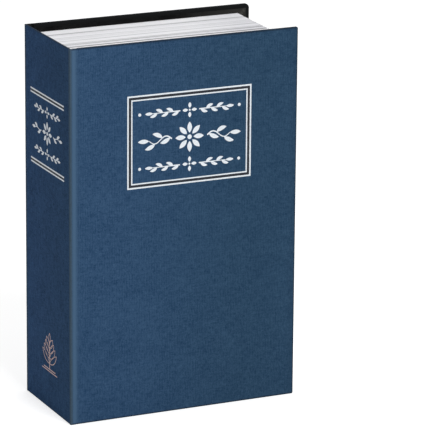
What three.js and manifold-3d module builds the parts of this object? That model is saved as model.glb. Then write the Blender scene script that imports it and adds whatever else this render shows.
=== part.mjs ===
// A hollow book that hides a small steel safe: a board cover case with false page edges around a tray,
// whose lid carries a three-dial combination lock. It stands upright on its foot.
// Millimetres. X runs from spine to fore-edge, Y from front cover to back cover, Z from foot to head.
import * as THREE from 'three';
import { mergeVertices } from 'three/addons/utils/BufferGeometryUtils.js';
import Module from 'manifold-3d';

const wasm = await Module();
wasm.setup();

// Cover case
const bookWidth = 115;
const bookThickness = 55;
const bookHeight = 180;
const boardThickness = 1.6;
const spineThickness = 1;
const frontCorner = 0.6; // rounding of the front board's fore-edge corners
const backCorner = 1.6;
const endpaperThickness = 0.4;
const endpaperInset = 2;
const clothThickness = 0.8;
const jointWidth = 4;

// False page edges
const headSquare = 4; // boards past the pages at head and foot
const foreSquare = 6.5; // boards past the pages at the fore-edge
const pageWall = 4;
const leafPitch = 2.7;
const leafGroove = 0.5;
const grooveDepth = 0.4;

// Running and seating gaps
const gap = 0.3;
const overrun = 1; // how far a cutting body passes the face it cuts

// Steel tray
const sheet = 0.8;
const rimSetback = 1.2; // rim behind the front endpaper
const rimWidth = 5.5;
const hingeRim = 2.2;
const ledgeWidth = 3;

// Lid and its hinge
const lidDepth = 4; // lid behind the front endpaper
const panelRise = 2.6;
const panelSlope = 5.4;
const panelMargin = 6;
const panelToHinge = 3.5; // from the hinge pin to the foot of the raised panel
const panelToLock = 20.1; // from the lock's centre line to the foot of the raised panel
const pinRadius = 0.9;
const knuckleRadius = 1.9;
const pinToRim = 2.5;
const knuckleCount = 5;

// Lock plate
const plateWidth = 22;
const plateHeight = 50;
const plateThickness = 1.2;
const plateCorner = 2;
const plateToLidEdge = 12.5; // from the plate's edge to the lid's free edge
const trimInset = 0.4;
const trimWidth = 1;
const trimThickness = 0.3;
const windowWidth = 10;
const windowHeight = 4.7;

// Dials
const dialCount = 3;
const dialShare = 0.46; // middle dial's place, as a share of the way from the knob's well to the plate's top
const dialPitch = 6.15;
const dialRadius = 6.4;
const dialWidth = 4;
const dialRise = 0.6; // crest of a dial past the plate's face
const dialHub = 4.2;
const dialBevel = 0.3;
const dialPlaces = 11; // ten digits and a dash
const notchRadius = 0.35;
const ringRadius = 3.2;
const cavityRadius = 2.6;
const ringWeb = 1.5;
const gateWidth = 1.5;

// Locking shaft
const shaftRadius = 1.5;
const shaftPlay = 0.2;
const toothThickness = 1;
const toothWidth = 1;
const toothReach = 2.4;
const yokeThickness = 2;
const yokeBar = 1.3;
const prong = 1;

// Knob, spindle and tongue
const wellMargin = 1.5; // from the plate's lower edge to the knob's well
const knobRadius = 6.65;
const knobHeight = 3.6;
const knobDish = 0.5;
const knobLip = 1.7;
const knobBevel = 0.4;
const recessRadius = 7.6;
const recessDepth = 1.8;
const cupWall = 0.6;
const spindleRadius = 1.5;
const crankRadius = 3; // eccentric pin from the spindle's axis
const crankPinRadius = 0.8;
const crankDiscRadius = 4.3;
const crankDiscThickness = 1.4;
const journalRadius = 2.4;
const tongueThickness = 1.2;
const tongueLength = 22;
const tongueWidth = 7;
const squareSize = 3.4;
const nutThickness = 1.6;
const nutRadius = 3;

// Lock case
const caseWall = 0.8;
const caseInset = 0.3; // case in from the plate's edges
const bearingWall = 1.2;
const coverThickness = 1.2;
const screwRadius = 0.9;
const screwHeadRadius = 1.7;
const screwHeadHeight = 1;
const bossRadius = 1.9;
const screwInset = 2.4; // screws in from the case's sides and ends
const screwBite = 0.6;
const springThickness = 0.35;
const springWidth = 2.4;

// Strike
const strikeThickness = 1;
const strikeLength = 14;
const strikeGrip = 3.5; // overlap of the tongue and the strike
const strikeLeg = 10;
const rivetRadius = 1;
const rivetHeadRadius = 1.8;
const rivetHeadHeight = 0.6;
const rivetPitch = 8;

// Roundness, in sides
const fine = 44;
const medium = 28;
const coarse = 18;

// Places worked out from the sizes above
const spineFace = -bookWidth / 2;
const foreEdge = bookWidth / 2;
const frontFace = -bookThickness / 2;
const backFace = bookThickness / 2;
const boardEdge = spineFace + jointWidth;
const frontInside = frontFace + boardThickness + endpaperThickness;
const backInside = backFace - boardThickness - endpaperThickness;
const spineInside = spineFace + spineThickness;
const pageFore = foreEdge - foreSquare;
const pageHead = bookHeight - headSquare;

const trayLeft = spineInside + gap;
const trayRight = pageFore - pageWall - gap;
const trayFoot = headSquare + pageWall + gap;
const trayHead = bookHeight - trayFoot;
const rimFace = frontInside + rimSetback;
const openLeft = trayLeft + hingeRim;
const openRight = trayRight - rimWidth;
const openFoot = trayFoot + rimWidth;
const openHead = trayHead - rimWidth;

const lidFace = frontInside + lidDepth;
const lidBack = lidFace + sheet;
const ledgeFace = lidBack + gap;
const ledgeBack = ledgeFace + sheet;
const pinX = openLeft + pinToRim;
const pinY = lidFace + sheet / 2;
const boreRadius = pinRadius + gap;
const lidLeft = pinX + knuckleRadius + gap;
const lidRight = openRight - gap;
const lidFoot = openFoot + gap;
const lidHead = openHead - gap;
const knuckleLength = (lidHead - lidFoot) / knuckleCount;

const lockX = lidRight - plateToLidEdge - plateWidth / 2;
const lockZ = bookHeight / 2;
const plateFace = lidFace - plateThickness;
const plateTop = lockZ + plateHeight / 2;
const plateFoot = lockZ - plateHeight / 2;
const recessFloor = plateFace + recessDepth;
const cupRadius = recessRadius + cupWall;
const cupBack = recessFloor + sheet;
const knobZ = plateFoot + wellMargin + cupRadius;
const wellTop = knobZ + cupRadius;
const dialY = plateFace - dialRise + dialRadius;
const middleDial = wellTop + dialShare * (plateTop - wellTop);
const dialZ = Array.from({ length: dialCount }, (_, i) => (
  middleDial + ((dialCount - 1) / 2 - i) * dialPitch
));

const crankThrow = crankRadius * Math.SQRT1_2; // the pin's height below the axis at rest
const shaftTravel = 2 * crankThrow;
const ringWidth = dialPitch - gap;
const shaftBore = shaftRadius + shaftPlay;
const discFace = dialY + yokeThickness / 2 + 2 * gap;
const caseBack = dialY + dialRadius + gap;
const coverBack = caseBack + coverThickness;
const journalEnd = coverBack + screwHeadHeight;
const tongueFace = journalEnd + gap;
const tongueBack = tongueFace + tongueThickness;
const bossFace = cupBack + gap; // bosses and bearing walls stay behind the knob's well
const caseWidth = plateWidth - 2 * caseInset;
const caseFoot = plateFoot + caseInset;
const caseHead = plateTop - caseInset;
const screwSpots = [-1, 1].flatMap((side) => [
  [lockX + side * (caseWidth / 2 - screwInset), caseFoot + screwInset],
  [lockX + side * (caseWidth / 2 - screwInset), caseHead - screwInset],
]);
const screwBore = screwRadius + gap;
const strikeX = trayRight - sheet;
const strikeFace = tongueFace - gap - strikeThickness;
const rivetY = strikeFace + strikeThickness + strikeLeg / 2;
const rivetSpots = [-1, 1].map((side) => knobZ + side * rivetPitch / 2);

// Solids from the library's shapes
function solid(shape) {
  const bare = shape.clone();
  bare.deleteAttribute('normal');
  bare.deleteAttribute('uv');
  const merged = mergeVertices(bare);
  const mesh = new wasm.Mesh({
    numProp: 3,
    vertProperties: merged.attributes.position.array,
    triVerts: new Uint32Array(merged.index.array),
  });
  return new wasm.Manifold(mesh);
}

function box([x0, x1], [y0, y1], [z0, z1]) {
  const shape = new THREE.BoxGeometry(x1 - x0, y1 - y0, z1 - z0);
  return solid(shape.translate((x0 + x1) / 2, (y0 + y1) / 2, (z0 + z1) / 2));
}

// An outline in X and Z carried along Y.
function prismY(outline, y0, y1) {
  const settings = { depth: y1 - y0, bevelEnabled: false, curveSegments: 6 };
  const shape = new THREE.ExtrudeGeometry(outline, settings);
  return solid(shape.rotateX(Math.PI / 2).translate(0, y1, 0));
}

// An outline in X and Y carried up Z.
function prismZ(points, z0, z1) {
  const outline = new THREE.Shape(points.map(([x, y]) => new THREE.Vector2(x, y)));
  const shape = new THREE.ExtrudeGeometry(outline, { depth: z1 - z0, bevelEnabled: false });
  return solid(shape.translate(0, 0, z0));
}

// An outline in Y and Z carried along X.
function prismX(points, x0, x1) {
  const outline = new THREE.Shape(points.map(([y, z]) => new THREE.Vector2(y, z)));
  const shape = new THREE.ExtrudeGeometry(outline, { depth: x1 - x0, bevelEnabled: false });
  return solid(shape.rotateX(Math.PI / 2).rotateZ(Math.PI / 2).translate(x0, 0, 0));
}

// Round rods along each axis, between two places on it.
function rodX(radius, [y, z], x0, x1, sides = coarse) {
  const shape = new THREE.CylinderGeometry(radius, radius, x1 - x0, sides);
  return solid(shape.rotateZ(Math.PI / 2).translate((x0 + x1) / 2, y, z));
}

function rodY(radius, [x, z], y0, y1, sides = medium) {
  const shape = new THREE.CylinderGeometry(radius, radius, y1 - y0, sides);
  return solid(shape.translate(x, (y0 + y1) / 2, z));
}

function rodZ(radius, [x, y], z0, z1, sides = medium) {
  const shape = new THREE.CylinderGeometry(radius, radius, z1 - z0, sides);
  return solid(shape.rotateX(Math.PI / 2).translate(x, y, (z0 + z1) / 2));
}

function roundedRect([x0, x1], [z0, z1], radius) {
  const outline = new THREE.Shape();
  outline.moveTo(x0 + radius, z0);
  outline.lineTo(x1 - radius, z0);
  outline.absarc(x1 - radius, z0 + radius, radius, -Math.PI / 2, 0);
  outline.lineTo(x1, z1 - radius);
  outline.absarc(x1 - radius, z1 - radius, radius, 0, Math.PI / 2);
  outline.lineTo(x0 + radius, z1);
  outline.absarc(x0 + radius, z1 - radius, radius, Math.PI / 2, Math.PI);
  outline.lineTo(x0, z0 + radius);
  outline.absarc(x0 + radius, z0 + radius, radius, Math.PI, 1.5 * Math.PI);
  return outline;
}

function hexagon([x, z], radius) {
  const outline = new THREE.Shape();
  outline.setFromPoints(Array.from({ length: 6 }, (_, i) => {
    const angle = i * Math.PI / 3;
    return new THREE.Vector2(x + radius * Math.cos(angle), z + radius * Math.sin(angle));
  }));
  return outline;
}

// A bent strip of even thickness through the given points in X and Y.
function ribbon(points, thickness) {
  const path = points.map(([x, y]) => new THREE.Vector2(x, y));
  const side = (sign) => path.map((point, i) => {
    const before = path[Math.max(i - 1, 0)];
    const after = path[Math.min(i + 1, path.length - 1)];
    const along = after.clone().sub(before).normalize();
    return [point.x - sign * along.y * thickness / 2, point.y + sign * along.x * thickness / 2];
  });
  return [...side(-1), ...side(1).reverse()];
}

// Cover case
function board(y0, y1, corner) {
  const outline = new THREE.Shape();
  outline.moveTo(boardEdge, 0);
  outline.lineTo(foreEdge - corner, 0);
  outline.absarc(foreEdge - corner, corner, corner, -Math.PI / 2, 0);
  outline.lineTo(foreEdge, bookHeight - corner);
  outline.absarc(foreEdge - corner, bookHeight - corner, corner, 0, Math.PI / 2);
  outline.lineTo(boardEdge, bookHeight);
  return prismY(outline, y0, y1);
}

function spineBoard() {
  const reach = clothThickness + gap;
  return box([spineFace, spineInside], [frontFace + reach, backFace - reach], [0, bookHeight]);
}

// The cloth of a joint: a narrow strip with round edges, the outer one on the line of the fold.
function hingeCloth(y0, y1) {
  const radius = clothThickness / 2;
  const left = spineFace + radius;
  const right = boardEdge - gap - radius;
  const middle = (y0 + y1) / 2;
  const ends = [left, right].map((x) => rodZ(radius, [x, middle], 0, bookHeight, coarse));
  return box([left, right], [y0, y1], [0, bookHeight]).add(ends[0]).add(ends[1]);
}

function endpaper(y0, y1) {
  const across = [boardEdge + endpaperInset, foreEdge - endpaperInset];
  return box(across, [y0, y1], [endpaperInset, bookHeight - endpaperInset]);
}

// Page edges at head, fore-edge and foot: leaves parted by shallow grooves.
function pageFrame() {
  const front = frontInside + gap;
  const leafCount = Math.round((backInside - front) / leafPitch);
  const pitch = (backInside - front) / leafCount;
  const leaf = (y0, y1, inset) => (
    box([trayLeft, pageFore - inset], [y0, y1], [headSquare + inset, pageHead - inset])
  );
  let block = leaf(front, backInside, grooveDepth);
  for (let i = 0; i < leafCount; i += 1) {
    const y = front + i * pitch;
    block = block.add(leaf(y, y + pitch - (i < leafCount - 1 ? leafGroove : 0), 0));
  }
  const hollow = box(
    [trayLeft - overrun, trayRight + gap],
    [front - overrun, backInside + overrun],
    [trayFoot - gap, trayHead + gap],
  );
  return block.subtract(hollow);
}

// Hinge knuckles are shared out from the foot: even ones on the tray, odd ones on the lid.
function knuckleSpan(index) {
  const foot = lidFoot + index * knuckleLength;
  return [foot + gap / 2, foot + knuckleLength - gap / 2];
}

function knuckles(first) {
  const spans = [];
  for (let i = first; i < knuckleCount; i += 2) spans.push(knuckleSpan(i));
  return spans;
}

function tray() {
  const back = backInside;
  const opening = [[openLeft, openRight], [openFoot, openHead]];
  let body = box([trayLeft, trayRight], [rimFace, back], [trayFoot, trayHead]);
  body = body.subtract(box(
    [trayLeft + sheet, trayRight - sheet],
    [rimFace + sheet, back - sheet],
    [trayFoot + sheet, trayHead - sheet],
  ));
  body = body.add(box(
    [openLeft - sheet, openRight + sheet],
    [rimFace, ledgeBack],
    [openFoot - sheet, openHead + sheet],
  ).subtract(box(
    [openLeft, openRight - ledgeWidth],
    [ledgeFace - overrun, ledgeBack + overrun],
    [openFoot + ledgeWidth, openHead - ledgeWidth],
  )));
  body = body.subtract(box(opening[0], [rimFace - overrun, ledgeFace], opening[1]));
  body = body.add(box([openLeft, pinX], [ledgeFace, ledgeBack], [openFoot, openHead]));
  for (const [z0, z1] of knuckles(1)) {
    const clear = knuckleRadius + gap;
    body = body.subtract(box(
      [pinX - clear, pinX + overrun],
      [ledgeFace - overrun, ledgeBack + overrun],
      [z0 - gap, z1 + gap],
    ));
  }
  for (const [z0, z1] of knuckles(0)) {
    body = body.add(rodZ(knuckleRadius, [pinX, pinY], z0, z1));
  }
  body = body.subtract(rodZ(boreRadius, [pinX, pinY], lidFoot - overrun, lidHead + overrun));
  for (const z of rivetSpots) {
    const through = [trayRight - sheet - overrun, trayRight + overrun];
    body = body.subtract(rodX(rivetRadius + gap, [rivetY, z], ...through));
  }
  return body;
}

function hingePin() {
  return rodZ(pinRadius, [pinX, pinY], lidFoot, lidHead, coarse);
}

// A raised panel with sloping sides, standing forward from the lid's back face.
function panel(shift) {
  const base = lidBack + shift;
  const top = lidFace - panelRise + shift;
  const left = pinX + panelToHinge;
  const right = lockX - panelToLock;
  const foot = lidFoot + panelMargin;
  const head = lidHead - panelMargin;
  const across = [[left, base], [right, base], [right - panelSlope, top], [left + panelSlope / 2, top]];
  const up = [[base, foot], [top, foot + panelSlope], [top, head - panelSlope], [base, head]];
  return prismZ(across, lidFoot, lidHead).intersect(prismX(up, lidLeft - overrun, lidRight));
}

function lid() {
  let body = box([lidLeft, lidRight], [lidFace, lidBack], [lidFoot, lidHead]);
  body = body.add(panel(0)).subtract(panel(sheet));
  for (const [z0, z1] of knuckles(1)) {
    body = body.add(rodZ(knuckleRadius, [pinX, pinY], z0, z1));
    body = body.add(box([pinX, lidLeft], [lidFace, lidBack], [z0, z1]));
  }
  body = body.subtract(rodZ(boreRadius, [pinX, pinY], lidFoot - overrun, lidHead + overrun));
  const through = [lidFace - overrun, lidBack + overrun];
  body = body.subtract(rodY(cupRadius + gap, [lockX, knobZ], ...through, fine));
  const slot = Math.sqrt(dialRadius ** 2 - (dialY - lidBack) ** 2) + gap;
  const [last, first] = [dialZ[dialCount - 1], dialZ[0]];
  const reach = ringWidth / 2 + gap;
  body = body.subtract(box([lockX - slot, lockX + slot], through, [last - reach, first + reach]));
  for (const spot of screwSpots) body = body.subtract(rodY(screwBore, spot, ...through, coarse));
  return body;
}

// Lock plate: windows for the dials and a round well for the knob.
function lockFaceplate() {
  const left = lockX - plateWidth / 2;
  const right = lockX + plateWidth / 2;
  let body = prismY(roundedRect([left, right], [plateFoot, plateTop], plateCorner), plateFace, lidFace);
  body = body.add(rodY(cupRadius, [lockX, knobZ], plateFace, cupBack, fine));
  body = body.subtract(rodY(recessRadius, [lockX, knobZ], plateFace - overrun, recessFloor, fine));
  body = body.subtract(rodY(spindleRadius + gap, [lockX, knobZ], recessFloor - overrun, cupBack + overrun));
  for (const z of dialZ) {
    const half = windowHeight / 2;
    body = body.subtract(box(
      [lockX - windowWidth / 2, lockX + windowWidth / 2],
      [plateFace - overrun, lidFace + overrun],
      [z - half, z + half],
    ));
  }
  for (const spot of screwSpots) {
    body = body.subtract(rodY(screwBore, spot, lidFace - screwBite - gap, lidFace + overrun, coarse));
  }
  return body;
}

function goldTrim() {
  const frame = (inset) => {
    const halfWidth = plateWidth / 2 - inset;
    const halfHeight = plateHeight / 2 - inset;
    const corner = Math.max(plateCorner - inset, sheet / 2);
    const across = [lockX - halfWidth, lockX + halfWidth];
    return roundedRect(across, [lockZ - halfHeight, lockZ + halfHeight], corner);
  };
  const outer = prismY(frame(trimInset), plateFace - trimThickness, plateFace);
  const middle = frame(trimInset + trimWidth);
  return outer.subtract(prismY(middle, plateFace - trimThickness - overrun, plateFace + overrun));
}

// A dial: a wheel on a narrower hub, with a finger notch between each pair of places.
function digitDrum(z) {
  const half = dialWidth / 2;
  const hub = ringWidth / 2;
  const bore = ringRadius + gap;
  const profile = [
    [bore, -hub], [dialHub, -hub], [dialHub, -half], [dialRadius - dialBevel, -half],
    [dialRadius, dialBevel - half], [dialRadius, half - dialBevel], [dialRadius - dialBevel, half],
    [dialHub, half], [dialHub, hub], [bore, hub], [bore, -hub],
  ];
  const shape = new THREE.LatheGeometry(profile.map(([r, h]) => new THREE.Vector2(r, h)), fine);
  let body = solid(shape.rotateX(Math.PI / 2).translate(lockX, dialY, z));
  for (let i = 0; i < dialPlaces; i += 1) {
    const angle = (i + 1 / 2) * 2 * Math.PI / dialPlaces - Math.PI / 2;
    const spot = [lockX + dialRadius * Math.cos(angle), dialY + dialRadius * Math.sin(angle)];
    body = body.subtract(rodZ(notchRadius, spot, z - half - overrun, z + half + overrun, 6));
  }
  return body;
}

// A code ring: two round cavities parted by a web, whose gate lets the shaft's tooth through at the code.
function codeRing(z) {
  const half = ringWidth / 2;
  const axis = [lockX, dialY];
  let body = rodZ(ringRadius, axis, z - half, z + half);
  body = body.subtract(rodZ(shaftBore, axis, z - half - overrun, z + half + overrun));
  body = body.subtract(rodZ(cavityRadius, axis, z - half - overrun, z - ringWeb / 2));
  body = body.subtract(rodZ(cavityRadius, axis, z + ringWeb / 2, z + half + overrun));
  return body.subtract(box(
    [lockX - gateWidth / 2, lockX + gateWidth / 2],
    [dialY, dialY + cavityRadius],
    [z - half, z + half],
  ));
}

// The shaft with a tooth for each ring and a yoke that the crank pin lifts.
function lockingShaft() {
  const axis = [lockX, dialY];
  const pinHeight = knobZ - crankThrow;
  const prongSpace = crankPinRadius + shaftPlay;
  const barFoot = knobZ + spindleRadius + shaftTravel / 2 + yokeBar / 2;
  const barHead = barFoot + yokeThickness;
  const depth = [dialY - yokeThickness / 2, dialY + yokeThickness / 2];
  const armLeft = lockX + crankRadius + crankPinRadius + gap;
  const armRight = armLeft + yokeBar;
  const shaftTop = dialZ[0] + ringWidth / 2 + bearingWall + 2 * gap;
  let body = rodZ(shaftRadius, axis, barHead - overrun, shaftTop);
  body = body.add(box([lockX - shaftRadius, armRight], depth, [barFoot, barHead]));
  body = body.add(box([armLeft, armRight], depth, [pinHeight - prongSpace - prong, barHead]));
  for (const z of [pinHeight - prongSpace - prong, pinHeight + prongSpace]) {
    body = body.add(box([lockX + spindleRadius + gap, armRight], depth, [z, z + prong]));
  }
  for (const z of dialZ) {
    const tooth = z - shaftTravel / 2;
    body = body.add(box(
      [lockX - toothWidth / 2, lockX + toothWidth / 2],
      [dialY, dialY + toothReach],
      [tooth - toothThickness / 2, tooth + toothThickness / 2],
    ));
  }
  return body;
}

// A comb of spring fingers beside the dials, which drop into their notches.
function detentSpring() {
  const wall = lockX + caseWidth / 2 - caseWall - gap;
  const root = wall - springThickness / 2;
  const crest = lockX + dialRadius + gap + springThickness / 2;
  const rear = dialY + dialRadius - 2 * springThickness;
  const low = dialZ[dialCount - 1] - springWidth / 2;
  const high = dialZ[0] + springWidth / 2;
  let body = box([wall - springThickness, wall], [dialY + dialRadius / 2, rear], [low, high]);
  const finger = ribbon([
    [root, dialY + dialRadius / 2 + springThickness],
    [root - springThickness, dialY + dialRadius / 3],
    [crest, dialY],
    [crest + 2 * springThickness, dialY - dialRadius / 5],
  ], springThickness);
  for (const z of dialZ) body = body.add(prismZ(finger, z - springWidth / 2, z + springWidth / 2));
  return body;
}

// Lock case: a frame behind the lid, with the shaft's two bearing walls and four screw bosses.
function lockCase() {
  const outer = [lockX - caseWidth / 2, lockX + caseWidth / 2];
  const inner = [outer[0] + caseWall, outer[1] - caseWall];
  const through = [lidBack - overrun, caseBack + overrun];
  let body = box(outer, [lidBack, caseBack], [caseFoot, caseHead]);
  body = body.subtract(box(inner, through, [caseFoot + caseWall, caseHead - caseWall]));
  const upper = dialZ[0] + ringWidth / 2 + gap;
  const lower = dialZ[dialCount - 1] - ringWidth / 2 - gap - bearingWall;
  const across = [inner[0] - caseWall / 2, inner[1] + caseWall / 2];
  for (const z of [lower, upper]) {
    body = body.add(box(across, [bossFace, caseBack], [z, z + bearingWall]));
  }
  body = body.subtract(rodZ(shaftBore, [lockX, dialY], lower - overrun, upper + bearingWall + overrun));
  for (const spot of screwSpots) body = body.add(rodY(bossRadius, spot, bossFace, caseBack, coarse));
  for (const spot of screwSpots) body = body.subtract(rodY(screwBore, spot, ...through, coarse));
  return body;
}

function lockBackCover() {
  const half = caseWidth / 2;
  let body = box([lockX - half, lockX + half], [caseBack, coverBack], [caseFoot, caseHead]);
  body = body.subtract(rodY(journalRadius + gap, [lockX, knobZ], caseBack - overrun, coverBack + overrun));
  for (const spot of screwSpots) {
    body = body.subtract(rodY(screwBore, spot, caseBack - overrun, coverBack + overrun, coarse));
  }
  return body;
}

function caseScrew(spot) {
  const head = rodY(screwHeadRadius, spot, coverBack, coverBack + screwHeadHeight, coarse);
  const slotWidth = screwRadius / 2;
  const slot = box(
    [spot[0] - slotWidth / 2, spot[0] + slotWidth / 2],
    [coverBack + screwHeadHeight / 2, coverBack + screwHeadHeight + overrun],
    [spot[1] - screwHeadRadius - overrun, spot[1] + screwHeadRadius + overrun],
  );
  const shank = rodY(screwRadius, spot, lidFace - screwBite, coverBack + screwHeadHeight / 3, coarse);
  return head.add(shank).subtract(slot);
}

function knob() {
  const back = recessFloor - gap;
  const front = back - knobHeight;
  const dish = knobRadius - knobLip;
  const bore = spindleRadius + gap;
  const depth = knobHeight / 2;
  const profile = [
    [0, front + knobDish], [dish, front + knobDish], [dish + knobDish, front],
    [knobRadius - knobBevel, front], [knobRadius, front + knobBevel], [knobRadius, back],
    [bore, back], [bore, back - depth], [0, back - depth],
  ];
  const shape = new THREE.LatheGeometry(profile.map(([r, h]) => new THREE.Vector2(r, h)), fine);
  return solid(shape.translate(lockX, 0, knobZ));
}

// Spindle: a shank, a crank disc with its eccentric pin, a journal, a square for the tongue and a thread.
function knobSpindle() {
  const axis = [lockX, knobZ];
  const front = recessFloor - gap - knobHeight / 2 + gap;
  const half = squareSize / 2;
  const threadEnd = tongueBack + gap + nutThickness + 2 * gap;
  let body = rodY(spindleRadius, axis, front, threadEnd, coarse);
  body = body.add(rodY(crankDiscRadius, axis, discFace, discFace + crankDiscThickness));
  const pin = [lockX + crankThrow, knobZ - crankThrow];
  body = body.add(rodY(crankPinRadius, pin, dialY - yokeThickness / 2 - gap, discFace + gap, coarse));
  body = body.add(rodY(journalRadius, axis, discFace, journalEnd));
  const depth = [journalEnd - gap, tongueBack];
  return body.add(box([lockX - half, lockX + half], depth, [knobZ - half, knobZ + half]));
}

// The tongue hangs down when the lock is open and swings under the strike when it is shut.
function tongue() {
  const wide = tongueWidth / 2;
  const outline = new THREE.Shape();
  outline.moveTo(lockX + wide, knobZ);
  outline.absarc(lockX, knobZ, wide, 0, Math.PI);
  outline.lineTo(lockX - wide, knobZ - tongueLength + wide);
  outline.absarc(lockX, knobZ - tongueLength + wide, wide, Math.PI, 2 * Math.PI);
  const half = squareSize / 2 + gap;
  return prismY(outline, tongueFace, tongueBack).subtract(box(
    [lockX - half, lockX + half],
    [tongueFace - overrun, tongueBack + overrun],
    [knobZ - half, knobZ + half],
  ));
}

function tongueNut() {
  const front = tongueBack + gap;
  const back = front + nutThickness;
  const bore = rodY(spindleRadius + gap, [lockX, knobZ], front - overrun, back + overrun, coarse);
  return prismY(hexagon([lockX, knobZ], nutRadius), front, back).subtract(bore);
}

// Strike: an angle riveted to the tray's wall, whose front leg holds the tongue back.
function strikeBracket() {
  const reach = lockX + tongueLength - strikeGrip;
  const span = [knobZ - strikeLength / 2, knobZ + strikeLength / 2];
  const inside = strikeX - strikeThickness;
  const strikeBack = strikeFace + strikeThickness;
  let body = box([reach, strikeX], [strikeFace, strikeBack], span);
  body = body.add(box([inside, strikeX], [strikeFace, strikeBack + strikeLeg], span));
  for (const z of rivetSpots) {
    body = body.subtract(rodX(rivetRadius + gap, [rivetY, z], inside - overrun, strikeX + overrun));
  }
  return body;
}

function strikeRivet(z) {
  const inside = strikeX - strikeThickness;
  const body = rodX(rivetHeadRadius, [rivetY, z], inside - rivetHeadHeight, inside);
  return body.add(rodX(rivetRadius, [rivetY, z], inside - rivetHeadHeight / 2, trayRight));
}

// Finishes: colour, roughness and metalness
const finishes = {
  cover: { color: 0x2f4b68, roughness: 0.8, metalness: 0 },
  spine: { color: 0x263f5b, roughness: 0.8, metalness: 0 },
  endpaper: { color: 0x16171a, roughness: 0.7, metalness: 0 },
  pages: { color: 0xe9e6e1, roughness: 0.75, metalness: 0 },
  steel: { color: 0x4a4f52, roughness: 0.55, metalness: 0.3 },
  black: { color: 0x1b1b20, roughness: 0.45, metalness: 0 },
  gold: { color: 0x9a7328, roughness: 0.35, metalness: 0.9 },
  zinc: { color: 0xa8aaa8, roughness: 0.35, metalness: 1 },
  dial: { color: 0x0e0e10, roughness: 0.4, metalness: 0 },
};

const book = new THREE.Group();

function addPiece(name, body, finish) {
  const { vertProperties, triVerts } = body.getMesh();
  const geometry = new THREE.BufferGeometry();
  geometry.setAttribute('position', new THREE.BufferAttribute(vertProperties, 3));
  geometry.setIndex(new THREE.BufferAttribute(triVerts, 1));
  geometry.computeVertexNormals();
  const mesh = new THREE.Mesh(geometry, new THREE.MeshStandardMaterial(finishes[finish]));
  mesh.name = name;
  book.add(mesh);
}

addPiece('front_board', board(frontFace, frontFace + boardThickness, frontCorner), 'cover');
addPiece('back_board', board(backFace - boardThickness, backFace, backCorner), 'cover');
addPiece('spine_board', spineBoard(), 'spine');
addPiece('front_hinge_strip', hingeCloth(frontFace, frontFace + clothThickness), 'cover');
addPiece('back_hinge_strip', hingeCloth(backFace - clothThickness, backFace), 'cover');
addPiece('front_endpaper', endpaper(frontInside - endpaperThickness, frontInside), 'endpaper');
addPiece('back_endpaper', endpaper(backInside, backInside + endpaperThickness), 'endpaper');
addPiece('page_frame', pageFrame(), 'pages');
addPiece('tray', tray(), 'steel');
addPiece('lid', lid(), 'steel');
addPiece('hinge_pin', hingePin(), 'zinc');
addPiece('strike_bracket', strikeBracket(), 'zinc');
rivetSpots.forEach((z, i) => addPiece(`strike_rivet_${i + 1}`, strikeRivet(z), 'zinc'));
addPiece('lock_faceplate', lockFaceplate(), 'black');
addPiece('gold_trim', goldTrim(), 'gold');
dialZ.forEach((z, i) => addPiece(`digit_drum_${i + 1}`, digitDrum(z), 'dial'));
dialZ.forEach((z, i) => addPiece(`code_ring_${i + 1}`, codeRing(z), 'zinc'));
addPiece('locking_shaft', lockingShaft(), 'zinc');
addPiece('detent_spring', detentSpring(), 'zinc');
addPiece('lock_case', lockCase(), 'zinc');
addPiece('lock_back_cover', lockBackCover(), 'zinc');
screwSpots.forEach((spot, i) => addPiece(`case_screw_${i + 1}`, caseScrew(spot), 'zinc'));
addPiece('knob', knob(), 'black');
addPiece('knob_spindle', knobSpindle(), 'zinc');
addPiece('tongue', tongue(), 'zinc');
addPiece('tongue_nut', tongueNut(), 'zinc');

export default book;
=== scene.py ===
import math

import bmesh
import bpy
import numpy as np
from mathutils import Matrix, Vector


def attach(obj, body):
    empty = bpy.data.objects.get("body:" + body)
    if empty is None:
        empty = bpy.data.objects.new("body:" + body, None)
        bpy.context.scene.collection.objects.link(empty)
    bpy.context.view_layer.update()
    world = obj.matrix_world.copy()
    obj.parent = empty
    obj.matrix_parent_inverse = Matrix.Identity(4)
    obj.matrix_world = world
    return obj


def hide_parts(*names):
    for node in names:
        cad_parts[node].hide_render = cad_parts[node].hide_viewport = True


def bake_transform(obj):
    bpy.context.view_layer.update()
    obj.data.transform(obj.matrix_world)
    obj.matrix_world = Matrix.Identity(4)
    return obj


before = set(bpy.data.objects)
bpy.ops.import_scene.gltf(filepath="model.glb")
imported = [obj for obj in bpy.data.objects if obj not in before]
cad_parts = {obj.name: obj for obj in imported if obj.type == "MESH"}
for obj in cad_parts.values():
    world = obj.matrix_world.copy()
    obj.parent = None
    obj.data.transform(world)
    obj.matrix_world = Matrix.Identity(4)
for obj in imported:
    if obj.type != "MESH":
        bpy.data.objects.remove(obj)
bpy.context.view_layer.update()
scene = bpy.context.scene
scene.view_settings.view_transform = "Standard"
print("frame loaded")

mm = 0.001  # lengths below are in millimetres and become metres in the meshes


# Camera: turned and raised about a point on the book, then rolled a little. Clip distances are in metres.
camera = dict(
    turn=-24.88, rise=16.21, roll=0.48, distance=1704, target=(28.4, 0, 84.9),
    lens=299.9, sensor=36, clip=(0.05, 20),
)


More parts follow.
